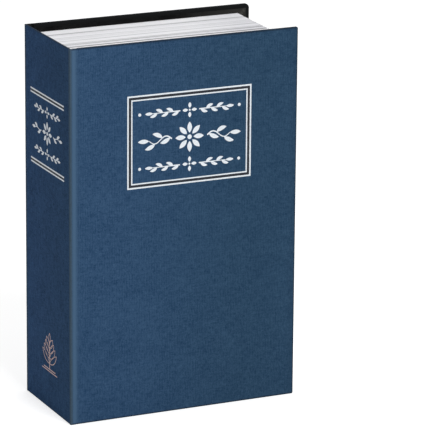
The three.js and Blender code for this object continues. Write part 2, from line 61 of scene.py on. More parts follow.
def placeCamera(c):
    turn, rise, roll = (math.radians(c[k]) for k in ("turn", "rise", "roll"))
    back = Vector((math.sin(turn) * math.cos(rise), -math.cos(turn) * math.cos(rise), math.sin(rise)))
    right = Vector((math.cos(turn), math.sin(turn), 0))
    up = back.cross(right)
    rolledRight = math.cos(roll) * right + math.sin(roll) * up
    rolledUp = back.cross(rolledRight)
    data = bpy.data.cameras.new("camera")
    data.lens = c["lens"]
    data.sensor_width = c["sensor"]
    data.clip_start, data.clip_end = c["clip"]
    camObject = bpy.data.objects.new("camera", data)
    scene.collection.objects.link(camObject)
    place = Vector(c["target"]) * mm + back * c["distance"] * mm
    axes = Matrix((rolledRight, rolledUp, back)).transposed().to_4x4()
    camObject.matrix_world = Matrix.Translation(place) @ axes
    scene.camera = camObject


placeCamera(camera)


# Meshes are arrays of points in rows and columns. Columns close on themselves, and a ring's rows do too.
def gridQuads(rows, columns, ring):
    row, column = np.meshgrid(np.arange(rows if ring else rows - 1), np.arange(columns), indexing="ij")
    nextRow, nextColumn = (row + 1) % rows, (column + 1) % columns
    corners = [row * columns + column, row * columns + nextColumn]
    corners += [nextRow * columns + nextColumn, nextRow * columns + column]
    return np.stack(corners, -1).reshape(-1, 4)


# Six times the volume: the sum over faces of each fan triangle's triple product
def signedVolume(points, faces):
    total = 0.0
    for face in faces:
        corners = points[np.asarray(face)]
        if corners.ndim == 2:  # one many-sided face
            corners = corners[None]
        for k in range(1, corners.shape[1] - 1):
            cross = np.cross(corners[:, k], corners[:, k + 1])
            total += float((corners[:, 0] * cross).sum())
    return total


# A closed shell from loops of points: sides between the loops and a flat face over each end. Where the
# volume comes out negative, every face is turned round.
def loftShell(points, ring=False):
    rows, columns = points.shape[:2]
    flat = points.reshape(-1, 3)
    quads = gridQuads(rows, columns, ring)
    ends = [] if ring else [np.arange(columns)[::-1], np.arange(columns) + (rows - 1) * columns]
    if signedVolume(flat, [quads, *ends]) < 0:
        quads = quads[:, ::-1]
        ends = [end[::-1] for end in ends]
    return flat, [*quads.tolist(), *[end.tolist() for end in ends]]


# Several shells as one list of points and one list of faces
def joinShells(shells):
    points, faces, first = [], [], 0
    for shellPoints, shellFaces in shells:
        points.append(shellPoints)
        faces += [[first + i for i in face] for face in shellFaces]
        first += len(shellPoints)
    return np.concatenate(points), faces


# A piece from its shells. Marks are numbers at its points, which its material reads by name.
def addPiece(name, shells, material, body, stands=(), sharp=35, marks=None):
    points, faces = joinShells(shells)
    mesh = bpy.data.meshes.new(name)
    mesh.from_pydata((points * mm).tolist(), [], faces)
    for label, values in (marks or {}).items():
        layer = mesh.attributes.new(label, "FLOAT", "POINT")
        layer.data.foreach_set("value", np.ascontiguousarray(values, dtype=np.float32).ravel())
    mesh.materials.append(material)
    mesh.polygons.foreach_set("use_smooth", np.ones(len(mesh.polygons), dtype=bool))
    mesh.set_sharp_from_angle(angle=math.radians(sharp))
    mesh.update()
    piece = bpy.data.objects.new(name, mesh)
    scene.collection.objects.link(piece)
    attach(piece, body)
    if stands:
        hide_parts(*stands)
    return piece


# 0 up to low, 1 from high, and between them three squares less two cubes of the way along
def smoothStep(value, low, high):
    t = np.clip((value - low) / (high - low), 0, 1)
    return t * t * (3 - 2 * t)


# A bell curve: 1 at nought, and all but gone at twice the width
def bell(distance, width):
    return np.exp(-((distance / width) ** 2))


# Shader nodes: a value that is a socket is linked, and any other is set
def addNode(tree, kind, values=None, **settings):
    node = tree.nodes.new(kind)
    for key, value in settings.items():
        setattr(node, key, value)
    for socket, value in (values or {}).items():
        if isinstance(value, bpy.types.NodeSocket):
            tree.links.new(value, node.inputs[socket])
        else:
            node.inputs[socket].default_value = value
    return node


def mixColour(tree, factor, first, second, blend="MIX"):
    values = {0: factor, 6: first, 7: second}
    return addNode(tree, "ShaderNodeMix", values, data_type="RGBA", blend_type=blend).outputs[2]


def mixValue(tree, factor, first, second):
    return addNode(tree, "ShaderNodeMix", {0: factor, 2: first, 3: second}, data_type="FLOAT").outputs[0]


def calc(tree, operation, first, second=0.0):
    return addNode(tree, "ShaderNodeMath", {0: first, 1: second}, operation=operation).outputs[0]


# One value's share plus another's
def addShares(tree, first, share, second, otherShare):
    return calc(tree, "ADD", calc(tree, "MULTIPLY", first, share), calc(tree, "MULTIPLY", second, otherShare))


def spread(tree, value, low, high, newLow=0.0, newHigh=1.0):
    values = {"Value": value, "From Min": low, "From Max": high, "To Min": newLow, "To Max": newHigh}
    return addNode(tree, "ShaderNodeMapRange", values).outputs[0]


def noise(tree, vector, scale, detail=2.0, roughness=0.5, stretch=None):
    if stretch:
        vector = addNode(tree, "ShaderNodeMapping", {"Vector": vector, "Scale": stretch}).outputs[0]
    values = {"Vector": vector, "Scale": scale, "Detail": detail, "Roughness": roughness}
    return addNode(tree, "ShaderNodeTexNoise", values).outputs["Fac"]


def makeGroup(name, inputs, outputs):
    tree = bpy.data.node_groups.new(name, "ShaderNodeTree")
    for label, kind, value in inputs:
        socket = tree.interface.new_socket(label, in_out="INPUT", socket_type="NodeSocket" + kind)
        if value is not None:
            socket.default_value = value
    for label, kind in outputs:
        tree.interface.new_socket(label, in_out="OUTPUT", socket_type="NodeSocket" + kind)
    return tree, tree.nodes.new("NodeGroupInput").outputs, tree.nodes.new("NodeGroupOutput").inputs


def useGroup(tree, group, **values):
    return addNode(tree, "ShaderNodeGroup", values, node_tree=group).outputs


# Scales are per metre. A slub's number is its width over its length.
weaveDetail = dict(
    uprightBands=370.0, levelBands=520.0, slub=0.26, pores=3400.0, mottle=70.0, mottleShare=0.13,
)


# Woven book cloth: upright and level threads, broken into slubs, under a slow mottle. Faces that look along
# X or along Y both see the sum of the two as their sideways place.
def makeClothGroup(w):
    tree, given, out = makeGroup(
        "clothWeave",
        [
            ("Position", "Vector", None), ("Pitch", "Float", 1500.0),
            ("Upright", "Float", 0.5), ("Threads", "Float", 0.3),
        ],
        [("Shade", "Float"), ("Height", "Float")],
    )
    place, pitch = given["Position"], given["Pitch"]
    split = addNode(tree, "ShaderNodeSeparateXYZ", {0: place}).outputs
    sideways = calc(tree, "ADD", split["X"], split["Y"])
    flat = addNode(tree, "ShaderNodeCombineXYZ", {"X": sideways, "Z": split["Z"]}).outputs[0]
    bands = []
    for direction, scale in (("X", w["uprightBands"]), ("Z", w["levelBands"])):
        values = {"Vector": flat, "Scale": scale, "Distortion": 2.5, "Detail": 2.0, "Detail Scale": 3.0}
        bands.append(addNode(tree, "ShaderNodeTexWave", values, bands_direction=direction).outputs["Fac"])
    warp = noise(tree, place, pitch, 3.0, 0.65, (1, 1, w["slub"]))
    weft = noise(tree, place, pitch, 3.0, 0.65, (w["slub"], w["slub"], 1))
    pores = noise(tree, place, w["pores"], 2.0, 0.6, (1, 1, 0.5))
    mottle = noise(tree, place, w["mottle"], 5.0, 0.7)
    slubs = addShares(tree, mixValue(tree, given["Upright"], weft, warp), 0.6, pores, 0.4)
    threads = mixValue(tree, given["Upright"], bands[1], bands[0])
    height = mixValue(tree, given["Threads"], slubs, threads)
    tone = mixValue(tree, calc(tree, "MULTIPLY", given["Threads"], 0.3), slubs, threads)
    shade = addShares(tree, tone, 1 - w["mottleShare"], mottle, w["mottleShare"])
    tree.links.new(spread(tree, shade, 0.4, 0.6), out["Shade"])
    tree.links.new(height, out["Height"])
    return tree


# Wear: patches of noise, raised by the amount and cut to a mask, times the mark of the edges
def makeWearGroup():
    tree, given, out = makeGroup(
        "edgeWear",
        [
            ("Position", "Vector", None), ("Edge", "Float", 0.0),
            ("Amount", "Float", 0.5), ("Size", "Float", 300.0),
        ],
        [("Mask", "Float")],
    )
    patches = noise(tree, given["Position"], given["Size"], 5.0, 0.7)
    raised = calc(tree, "ADD", patches, calc(tree, "SUBTRACT", given["Amount"], 0.5))
    mask = calc(tree, "MULTIPLY", spread(tree, raised, 0.5, 0.62), given["Edge"])
    tree.links.new(mask, out["Mask"])
    return tree


hammerDetail = dict(drift=900.0, driftReach=0.0016, rim=0.42, peel=1600.0)  # the reach is in metres


# Hammered paint: cells pushed about by noise, each domed by a smooth step of the distance to its rim, over a
# fine orange-peel
def makeHammerGroup(h):
    tree, given, out = makeGroup(
        "hammeredPaint",
        [("Position", "Vector", None), ("Size", "Float", 900.0)],
        [("Shade", "Float"), ("Height", "Float"), ("Gloss", "Float")],
    )
    place = given["Position"]
    drift = addNode(tree, "ShaderNodeTexNoise", {"Vector": place, "Scale": h["drift"], "Detail": 2.0})
    values = {0: drift.outputs["Color"], "Scale": h["driftReach"]}
    shift = addNode(tree, "ShaderNodeVectorMath", values, operation="SCALE")
    moved = addNode(tree, "ShaderNodeVectorMath", {0: place, 1: shift.outputs[0]}, operation="ADD")
    values = {"Vector": moved.outputs[0], "Scale": given["Size"]}
    cells = addNode(tree, "ShaderNodeTexVoronoi", values, feature="DISTANCE_TO_EDGE")
    peel = noise(tree, place, h["peel"], 4.0, 0.7)
    values = {"Value": cells.outputs["Distance"], "From Max": h["rim"]}
    dome = addNode(tree, "ShaderNodeMapRange", values, interpolation_type="SMOOTHSTEP").outputs[0]
    tree.links.new(addShares(tree, dome, 0.75, peel, 0.25), out["Height"])
    tone = addShares(tree, dome, 0.25, peel, 0.75)
    tree.links.new(spread(tree, tone, 0.3, 0.75), out["Shade"])
    tree.links.new(spread(tree, peel, 0.3, 0.7, 0.34, 0.5), out["Gloss"])
    return tree


# Brushed or rolled metal: long fine scratches along one way, and faint stains
def makeMetalGroup():
    tree, given, out = makeGroup(
        "metalGrain",
        [("Position", "Vector", None), ("Stretch", "Vector", (1, 1, 0.05)), ("Size", "Float", 3000.0)],
        [("Shade", "Float"), ("Gloss", "Float"), ("Height", "Float")],
    )
    values = {0: given["Position"], 1: given["Stretch"]}
    along = addNode(tree, "ShaderNodeVectorMath", values, operation="MULTIPLY")
    lines = noise(tree, along.outputs[0], given["Size"], 3.0, 0.6)
    stains = noise(tree, given["Position"], 160.0, 4.0, 0.6)
    mixed = addShares(tree, lines, 0.6, stains, 0.4)
    tree.links.new(lines, out["Height"])
    tree.links.new(spread(tree, mixed, 0.3, 0.7), out["Shade"])
    tree.links.new(spread(tree, mixed, 0.3, 0.7, 0.26, 0.46), out["Gloss"])
    return tree


clothWeave = makeClothGroup(weaveDetail)
edgeWear = makeWearGroup()
hammeredPaint = makeHammerGroup(hammerDetail)
metalGrain = makeMetalGroup()
print("node groups made")


# A material with its constant numbers on the shader's own sockets
def startMaterial(name, **fixed):
    material = bpy.data.materials.new(name)
    material.use_nodes = True
    tree = material.node_tree
    shader = tree.nodes["Principled BSDF"]
    for label, value in fixed.items():
        shader.inputs[label.replace("_", " ")].default_value = value
    position = addNode(tree, "ShaderNodeTexCoord").outputs["Object"]
    return material, tree, position


def mark(tree, label):
    return addNode(tree, "ShaderNodeAttribute", attribute_name=label).outputs["Fac"]


# The last links of each material. The bump's distance is in millimetres.
def finishMaterial(material, colour, roughness, height, strength, distance):
    tree = material.node_tree
    shader = tree.nodes["Principled BSDF"]
    tree.links.new(colour, shader.inputs["Base Color"])
    tree.links.new(roughness, shader.inputs["Roughness"])
    values = {"Height": height, "Strength": strength, "Distance": distance * mm}
    bump = addNode(tree, "ShaderNodeBump", values)
    tree.links.new(bump.outputs[0], shader.inputs["Normal"])
    return material


clothGrain = dict(Pitch=1350.0, Upright=0.56)
# The lighter colour for the ridge beside the fold is a painted highlight
bookCloth = dict(
    shadow=(0.011, 0.042, 0.102, 1), light=(0.045, 0.101, 0.193, 1), joint=(0.062, 0.125, 0.215, 1),
    spineShadow=(0.005, 0.028, 0.080, 1), spineLight=(0.035, 0.095, 0.219, 1),
    slowDarkening=(0.79, 0.83, 0.77, 1), fold=(0.058, 0.092, 0.118, 1), darkEdge=(0.010, 0.020, 0.036, 1),
    wearAndSheen=(0.10, 0.15, 0.21, 1), turnedIn=(0.005, 0.0055, 0.006, 1),
    foldShare=0.75, darkEdgeShare=0.8, wear=0.36, wearSize=420.0, bump=0.4, specular=0.12,
)


# Dyed cloth: the weave goes from shadow to light, and each mark then lays its colour over what is there
def makeCloth(name, shadow, light):
    c = bookCloth
    material, tree, position = startMaterial(name, Specular_IOR_Level=c["specular"])
    weave = useGroup(tree, clothWeave, Position=position, **clothGrain)
    edge = mark(tree, "edge")
    wear = useGroup(tree, edgeWear, Position=position, Edge=edge, Amount=c["wear"], Size=c["wearSize"])
    folded = calc(tree, "MULTIPLY", mark(tree, "fold"), c["foldShare"])
    darkEdge = calc(tree, "MULTIPLY", edge, c["darkEdgeShare"])
    colour = mixColour(tree, weave["Shade"], shadow, light)
    # Darker and greyer along the cover towards the fore-edge, and along the spine towards the front
    colour = mixColour(tree, mark(tree, "slowDarkening"), colour, c["slowDarkening"], "MULTIPLY")
    # Painted highlight: lighter colour along the ridge beside the fold
    colour = mixColour(tree, mark(tree, "joint"), colour, c["joint"])
    colour = mixColour(tree, folded, colour, c["fold"])
    # Darker along the edges: head, foot and fore-edge on the cover, foot and head on the spine
    colour = mixColour(tree, darkEdge, colour, c["darkEdge"])
    colour = mixColour(tree, wear["Mask"], colour, c["wearAndSheen"])
    colour = mixColour(tree, mark(tree, "lining"), colour, c["turnedIn"])
    roughness = spread(tree, weave["Height"], 0.3, 0.7, 0.9, 0.7)
    return finishMaterial(material, colour, roughness, weave["Height"], c["bump"], 0.1)


coverCloth = makeCloth("coverCloth", bookCloth["shadow"], bookCloth["light"])
# The spine's copy of the cloth is darker in red and green than the cover's: painted shade for the spine's
# side
shadedSpineCloth = makeCloth("shadedSpineCloth", bookCloth["spineShadow"], bookCloth["spineLight"])

liningPaper = dict(
    dark=(0.003, 0.003, 0.003, 1), light=(0.010, 0.010, 0.010, 1), paintedSheen=(0.075, 0.073, 0.068, 1),
    fibres=1400.0, clouds=120.0, specular=0.04,
)


# Black endpaper: fine fibres over slow clouds, with a painted highlight on its seams and step and a painted
# sheen towards the fore-edge
def makeLining(p):
    material, tree, position = startMaterial("blackLining", Specular_IOR_Level=p["specular"])
    fibres = noise(tree, position, p["fibres"], 4.0, 0.7)
    clouds = noise(tree, position, p["clouds"], 3.0)
    shade = spread(tree, calc(tree, "ADD", fibres, clouds), 0.8, 1.2)
    colour = mixColour(tree, shade, p["dark"], p["light"])
    # Painted highlight and sheen: lighter on the seams, on the step and towards the fore-edge
    colour = mixColour(tree, mark(tree, "paintedSheen"), colour, p["paintedSheen"])
    return finishMaterial(material, colour, spread(tree, clouds, 0.3, 0.7, 0.55, 0.75), fibres, 0.25, 0.06)


blackLining = makeLining(liningPaper)

# The gap colour is painted shade for the partings between the leaves
pagePaper = dict(
    white=(0.88, 0.88, 0.90, 1), cream=(0.79, 0.79, 0.82, 1), gap=(0.09, 0.09, 0.10, 1),
    foreEdgeDarker=(0.89, 0.89, 0.90, 1), streaks=900.0, clouds=40.0, specular=0.25,
)


# Page edges: streaks along the leaves, aged in clouds, with painted shade in the partings and nicks, and
# darker towards the fore-edge
def makePaper(p):
    material, tree, position = startMaterial("pageEdges", Specular_IOR_Level=p["specular"])
    streaks = noise(tree, position, p["streaks"], 3.0, 0.6, (0.03, 1, 0.03))
    clouds = noise(tree, position, p["clouds"], 2.0)
    colour = mixColour(tree, spread(tree, streaks, 0.35, 0.65), p["cream"], p["white"])
    colour = mixColour(tree, spread(tree, clouds, 0.35, 0.75, 0.0, 0.25), colour, p["cream"])
    # Painted shade in the partings and nicks
    colour = mixColour(tree, mark(tree, "partingShade"), colour, p["gap"])
    # Darker towards the fore-edge
    colour = mixColour(tree, mark(tree, "foreEdgeDarker"), colour, p["foreEdgeDarker"], "MULTIPLY")
    return finishMaterial(material, colour, spread(tree, streaks, 0.3, 0.7, 0.6, 0.8), streaks, 0.2, 0.05)


pageEdges = makePaper(pagePaper)

foils = dict(
    silverFoil=dict(
        bright=(0.88, 0.93, 0.98, 1), dull=(0.76, 0.81, 0.86, 1), under=bookCloth["light"],
        metallic=0.0, roughness=0.45,
    ),
    spineFoil=dict(
        bright=(0.90, 0.96, 1.00, 1), dull=(0.80, 0.85, 0.93, 1), under=bookCloth["spineLight"],
        metallic=0.0, roughness=0.45,
    ),
    inkLine=dict(
        bright=(0.008, 0.012, 0.022, 1), dull=(0.004, 0.006, 0.011, 1), under=bookCloth["shadow"],
        metallic=0.0, roughness=0.7,
    ),
    copperFoil=dict(
        bright=(0.80, 0.56, 0.50, 1), dull=(0.55, 0.40, 0.38, 1), under=bookCloth["spineLight"],
        metallic=0.35, roughness=0.4,
    ),
)


# Foil or ink on cloth: it takes the weave's relief, and in small patches the cloth under it shows
def makeFoil(name, bright, dull, under, metallic, roughness):
    material, tree, position = startMaterial(name, Metallic=metallic)
    weave = useGroup(tree, clothWeave, Position=position, **clothGrain)
    patches = noise(tree, position, 700.0, 4.0, 0.7)
    worn = calc(tree, "MULTIPLY", spread(tree, patches, 0.62, 0.75), 0.6)
    colour = mixColour(tree, worn, mixColour(tree, weave["Shade"], dull, bright), under)
    rough = spread(tree, weave["Height"], 0.3, 0.7, roughness + 0.1, roughness - 0.08)
    return finishMaterial(material, colour, rough, weave["Height"], 0.3, 0.1)


silverFoil, spineFoil, inkLine, copperFoil = (makeFoil(name, **foil) for name, foil in foils.items())

greyPaint = dict(
    low=(0.016, 0.020, 0.0225, 1), high=(0.073, 0.084, 0.092, 1), bare=(0.42, 0.42, 0.41, 1),
    cells=820.0, wear=0.4, wearSize=500.0, bump=0.4,
)


# Hammered grey, the same paint on faces and on rims, where it is worn to the steel in patches
def makeHammered(name, worn):
    g = greyPaint
    material, tree, position = startMaterial(name, Metallic=0.25, Coat_Weight=0.15, Coat_Roughness=0.25)
    hammer = useGroup(tree, hammeredPaint, Position=position, Size=g["cells"])
    wear = useGroup(tree, edgeWear, Position=position, Edge=worn, Amount=g["wear"], Size=g["wearSize"])
    painted = mixColour(tree, hammer["Shade"], g["low"], g["high"])
    colour = mixColour(tree, wear["Mask"], painted, g["bare"])
    return finishMaterial(material, colour, hammer["Gloss"], hammer["Height"], g["bump"], 0.12)


mouldings = dict(
    platePlastic=dict(
        dark=(0.003, 0.003, 0.0048, 1), light=(0.0075, 0.0075, 0.0115, 1), rough=(0.42, 0.58),
        grain=2400.0, specular=0.1,
    ),
    knobPlastic=dict(
        dark=(0.003, 0.003, 0.0045, 1), light=(0.0095, 0.0095, 0.0130, 1), rough=(0.45, 0.65),
        grain=1100.0, specular=0.09,
    ),
    dialPlastic=dict(
        dark=(0.004, 0.004, 0.005, 1), light=(0.009, 0.009, 0.010, 1), rough=(0.25, 0.38),
        grain=2600.0, specular=0.3,
    ),
    dialPaint=dict(
        dark=(0.66, 0.66, 0.66, 1), light=(0.84, 0.84, 0.84, 1), rough=(0.5, 0.65), grain=2600.0, specular=0.3
    ),
)


# Moulded plastic or its paint: fine grain, slow smears that change the gloss, and grey where edges are worn
def makeMoulded(name, dark, light, rough, grain, specular):
    material, tree, position = startMaterial(name, Specular_IOR_Level=specular)
    fine = noise(tree, position, grain, 3.0, 0.6)
    smears = noise(tree, position, 110.0, 4.0, 0.65)
    wear = useGroup(tree, edgeWear, Position=position, Edge=mark(tree, "edge"), Amount=0.4, Size=650.0)
    colour = mixColour(tree, spread(tree, calc(tree, "ADD", fine, smears), 0.8, 1.2), dark, light)
    colour = mixColour(tree, calc(tree, "MULTIPLY", wear["Mask"], 0.5), colour, (0.09, 0.09, 0.095, 1))
    return finishMaterial(material, colour, spread(tree, smears, 0.3, 0.7, *rough), fine, 0.2, 0.05)


metals = dict(
    goldPaint=dict(
        dark=(0.10, 0.052, 0.006, 1), light=(0.30, 0.170, 0.024, 1), stretch=(1, 1, 1),
        size=900.0, metallic=0.75, bump=0.3,
    ),
    zincPlate=dict(
        dark=(0.42, 0.43, 0.44, 1), light=(0.62, 0.62, 0.61, 1), stretch=(1, 1, 0.05),
        size=2600.0, metallic=1.0, bump=0.12,
    ),
    turnedSteel=dict(
        dark=(0.40, 0.40, 0.41, 1), light=(0.60, 0.60, 0.60, 1), stretch=(1, 0.05, 1),
        size=2600.0, metallic=1.0, bump=0.12,
    ),
    castAlloy=dict(
        dark=(0.26, 0.27, 0.28, 1), light=(0.40, 0.41, 0.42, 1), stretch=(1, 1, 1),
        size=1800.0, metallic=0.85, bump=0.4,
    ),
)


def makeMetal(name, dark, light, stretch, size, metallic, bump):
    material, tree, position = startMaterial(name, Metallic=metallic)
    grain = useGroup(tree, metalGrain, Position=position, Stretch=stretch, Size=size)
    colour = mixColour(tree, grain["Shade"], dark, light)
    return finishMaterial(material, colour, grain["Gloss"], grain["Height"], bump, 0.04)


hammeredGrey = makeHammered("hammeredGrey", 0.0)
hammeredRim = makeHammered("hammeredRim", 1.0)
platePlastic, knobPlastic, dialPlastic, dialPaint = (
    makeMoulded(name, **kind) for name, kind in mouldings.items()
)
goldPaint, zincPlate, turnedSteel, castAlloy = (makeMetal(name, **kind) for name, kind in metals.items())
print("materials made")


# A loop round a round-cornered rectangle: fractions of the inner rectangle, and the radius times a direction
def loopPattern(long, short, corner):
    turn = np.linspace(0, np.pi / 2, corner + 2)[1:-1]
    nearEnd = np.array([0, 0.0015, 0.003, 0.006])
    side = np.concatenate([nearEnd, np.linspace(0.02, 0.98, long), 1 - nearEnd[::-1]])
    end = np.linspace(0, 1, short)
    one, zero = np.ones_like, np.zeros_like
    parts = [
        (zero(side), side, -one(side), zero(side)),
        (zero(turn), one(turn), -np.cos(turn), np.sin(turn)),
        (end, one(end), zero(end), one(end)),
        (one(turn), one(turn), np.sin(turn), np.cos(turn)),
        (one(side), 1 - side, one(side), zero(side)),
        (one(turn), zero(turn), np.cos(turn), -np.sin(turn)),
        (1 - end, zero(end), zero(end), -one(end)),
        (zero(turn), zero(turn), -np.sin(turn), -np.cos(turn)),
    ]
    return [np.concatenate([part[k] for part in parts]) for k in range(4)]


# How far a round end of this radius has drawn in: the radius less its cosine
def roundIn(radius, fromEnd):
    return radius - np.sqrt(np.clip(radius**2 - np.clip(radius - fromEnd, 0, None) ** 2, 0, None))


boardRows = dict(near=5, far=6, gap=0.1, count=30)  # half of the rows are near the fold


# A board: a round-cornered loop across it, carried along it. Towards each end the loop draws in by the edge
# radius less its cosine, and towards the high end the outline's corners by the corner radius less its cosine.
def boardLoops(b):
    rows, edge, corner = boardRows, b["edge"], b["corner"]
    low, high = b["along"]
    lowEnd = low + edge * (1 - np.cos(np.linspace(0, np.pi / 2, 7)[:-1]))
    highEnd = high - max(edge, corner) * (1 - np.sin(np.linspace(0, np.pi / 2, 11)))
    dense = np.linspace(lowEnd[-1] + rows["gap"], low + rows["near"], rows["count"])
    wide = np.linspace(low + rows["far"], highEnd[0] - rows["gap"], rows["count"])
    along = np.concatenate([lowEnd, dense, wide, highEnd])
    drawIn = roundIn(edge, np.minimum(along - low, high - along))
    outline = np.maximum(roundIn(corner, high - along), drawIn)
    fy, fz, dy, dz = loopPattern(b["across"], 3, 6)
    radius = np.maximum(edge - drawIn, 0.01)[:, None]
    y0, y1 = (b["face"] + drawIn)[:, None], (b["rear"] - drawIn)[:, None]
    z0, z1 = (b["foot"] + outline)[:, None], (b["head"] - outline)[:, None]
    depth = y0 + radius + (y1 - y0 - 2 * radius) * fy + radius * dy
    height = z0 + radius + (z1 - z0 - 2 * radius) * fz + radius * dz
    return np.broadcast_to(along[:, None], depth.shape), depth, height


# Grooves and the ridge between them are given by place and width, and a groove's last number is its depth.
# The ridge is coloured lighter, a painted highlight. Pairs, such as the ranges of the dark edge and of the
# darkening towards the fore-edge, are where a smooth step starts and ends.
cover = dict(
    along=(-57.43, 57.5), face=-27.43, rear=-25.9, foot=0.0, head=180.0, edge=0.33, across=40,
    frontCorner=0.7, backCorner=2.2, jointEnd=-53.6, jointStep=0.3, jointRear=0.76,
    grooves=((0.95, 0.35, 0.12), (3.3, 0.7, 0.16)), ridge=(1.9, 1.5),
    turnedIn=0.22, liningStep=0.1, darkEdge=(0.35, 0.95), creased=0.55, slowDarkening=(-45, 40),
)


# Cover from its fold to its fore-edge: the joint is thinner inside than the board, and outside it is pressed
# in by two grooves, each a bell curve of the distance from the fold
def makeCover(name, corner, side, body, stands):
    c = cover
    x, y, z = boardLoops({**c, "corner": corner})
    thickness = c["rear"] - c["face"]
    thin = 1 - smoothStep(x, c["jointEnd"] - c["jointStep"], c["jointEnd"] + c["jointStep"])
    depth = (y - c["face"]) / thickness
    y = c["face"] + (y - c["face"]) * (1 - thin * (1 - c["jointRear"] / thickness))
    lining = smoothStep(depth, c["turnedIn"] - c["liningStep"], c["turnedIn"] + c["liningStep"])
    fromFold = x - c["along"][0]
    for place, width, deep in c["grooves"]:
        y = y + deep * bell(fromFold - place, width) * (depth < 0.5)
    nearEdge = np.minimum(np.minimum(z, c["head"] - z), c["along"][1] - x)
    marks = dict(
        lining=lining,
        # Painted highlight: the ridge between the grooves is coloured lighter
        joint=bell(fromFold - c["ridge"][0], c["ridge"][1]) * (depth < 0.5),
        # Darker towards head, foot and fore-edge
        edge=(1 - smoothStep(nearEdge, *c["darkEdge"])) * (1 - lining),
        fold=bell(fromFold, c["creased"]) * (1 - lining),
        # Darker and greyer towards the fore-edge
        slowDarkening=smoothStep(x, *c["slowDarkening"]),
    )
    shell = loftShell(np.stack([x, y * side, z], -1))
    return addPiece(name, [shell], coverCloth, body, stands, marks=marks)


makeCover("front_cover", cover["frontCorner"], 1, "cover", ("front_board", "front_hinge_strip"))
makeCover("back_cover", cover["backCorner"], -1, "case_and_tray", ("back_board", "back_hinge_strip"))

spinePanel = dict(
    along=(-26.35, 26.35), face=-57.43, rear=-56.5, foot=0.0, head=180.0, edge=0.3, corner=0.3, across=40,
    black=0.6, liningStep=0.12, darkEdge=(0.15, 0.5), creased=0.3, slowDarkening=(-30, 26), slowDarkeningShare=0.7,
)


# Spine: the same board carried along the thickness, black inside. It is darker towards foot and head, creased
# along both folds by a bell curve, and darker and greyer towards the front.
def makeSpine(s):
    y, x, z = boardLoops(s)
    depth = (x - s["face"]) / (s["rear"] - s["face"])
    lining = smoothStep(depth, s["black"] - s["liningStep"], s["black"] + s["liningStep"])
    marks = dict(
        lining=lining,
        joint=0 * x,
        edge=(1 - smoothStep(np.minimum(z, s["head"] - z), *s["darkEdge"])) * (1 - lining),
        fold=bell(np.abs(y) - s["along"][1], s["creased"]) * (1 - lining),
        slowDarkening=s["slowDarkeningShare"] * smoothStep(-y, *s["slowDarkening"]),
    )
    shell = loftShell(np.stack([x, y, z], -1))
    return addPiece("spine_panel", [shell], shadedSpineCloth, "spine", ("spine_board",), marks=marks)


makeSpine(spinePanel)

foldCloth = dict(
    axis=(-57.1, 27.1), outer=0.39, inner=0.335, onSpine=0.9, onCover=0.55, z=(0.05, 179.95), rows=60,
    spineEnd=(-57.49, 26.7), coverEnd=(-56.8, 27.49),  # points on the spine and on the cover at the ends of the fold's arc
)


# Cloth over a fold: along the spine, round the hinge's axis and on to the cover, as one thin closed loop
def makeFold(name, side, bodies, material):
    f = foldCloth
    turn = np.linspace(0, np.pi / 2, 9)
    curves = []
    for radius in (f["outer"], f["inner"]):
        arc = np.stack([-radius * np.cos(turn), radius * np.sin(turn)], -1)
        start = [[-radius, -f["onSpine"]], [-radius, -f["onSpine"] / 2]]
        curves.append(np.concatenate([start, arc, [[f["onCover"], radius]]]))
    loop = np.concatenate([curves[0], curves[1][::-1]])
    z = np.linspace(*f["z"], f["rows"])
    x = np.broadcast_to(f["axis"][0] + loop[:, 0], (len(z), len(loop)))
    y = np.broadcast_to((f["axis"][1] + loop[:, 1]) * side, x.shape)
    shell = loftShell(np.stack([x, y, np.broadcast_to(z[:, None], x.shape)], -1))
    zero = np.zeros(x.size)
    marks = dict(lining=zero, joint=zero, edge=zero, fold=zero + 1)
    piece = addPiece(name, [shell], material, bodies[0], marks=marks)
    piece.parent = None
    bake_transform(piece)
    return piece


makeFold("front_fold", -1, ("spine", "cover"), shadedSpineCloth)
makeFold("back_fold", 1, ("case_and_tray", "spine"), shadedSpineCloth)

liningSheet = dict(
    x=(-51.5, 55.5), z=(2.0, 178.0), face=25.5, rear=25.9, turnIn=12.5, relief=0.1,
    seam=0.99, seamEnd=1.0, slope=0.5, wearAndSheen=(15, 52), sheenShare=0.3, rows=100, across=150,
)


# Endpaper over the turned-in cloth: a plate that steps down inside the border, with a seam along the line
# that halves each corner. Its colour is lighter by painted light: a painted highlight on the seam and on the
# step, as four times border by not-border, and a painted sheen towards the fore-edge.
def makeLiningSheet(name, side, body, node):
    s = liningSheet
    x = np.linspace(*s["x"], s["rows"])[:, None]
    z = np.linspace(*s["z"], s["across"])[None, :]
    toFore = s["x"][1] - x
    toEnd = np.minimum(z - s["z"][0], s["z"][1] - z)
    toEdge = np.minimum(toFore, toEnd)
    nearCorner = 1 - smoothStep(toEdge, s["turnIn"] - s["seamEnd"], s["turnIn"])
    seam = (1 - smoothStep(np.abs(toFore - toEnd) / math.sqrt(2), 0, s["seam"])) * nearCorner
    border = 1 - smoothStep(toEdge, s["turnIn"] - s["slope"], s["turnIn"] + s["slope"])
    step = 4 * border * (1 - border)
    face = s["face"] + s["relief"] * (1 - border) + 0.5 * s["relief"] * seam
    front = np.stack(np.broadcast_arrays(x, face, z), -1)
    rear = np.stack(np.broadcast_arrays(x, np.full_like(face, s["rear"]), z), -1)[:, [-1, 0]]
    loops = np.concatenate([front, rear], 1) * (1, side, 1)
    # Painted sheen: lighter towards the fore-edge within the border
    wearAndSheen = s["sheenShare"] * smoothStep(x, *s["wearAndSheen"]) * border
    paintedSheen = np.concatenate([0.6 * seam + 0.25 * step + wearAndSheen, np.zeros((s["rows"], 2))], 1)
    marks = dict(paintedSheen=paintedSheen)
    return addPiece(name, [loftShell(loops)], blackLining, body, (node,), marks=marks)


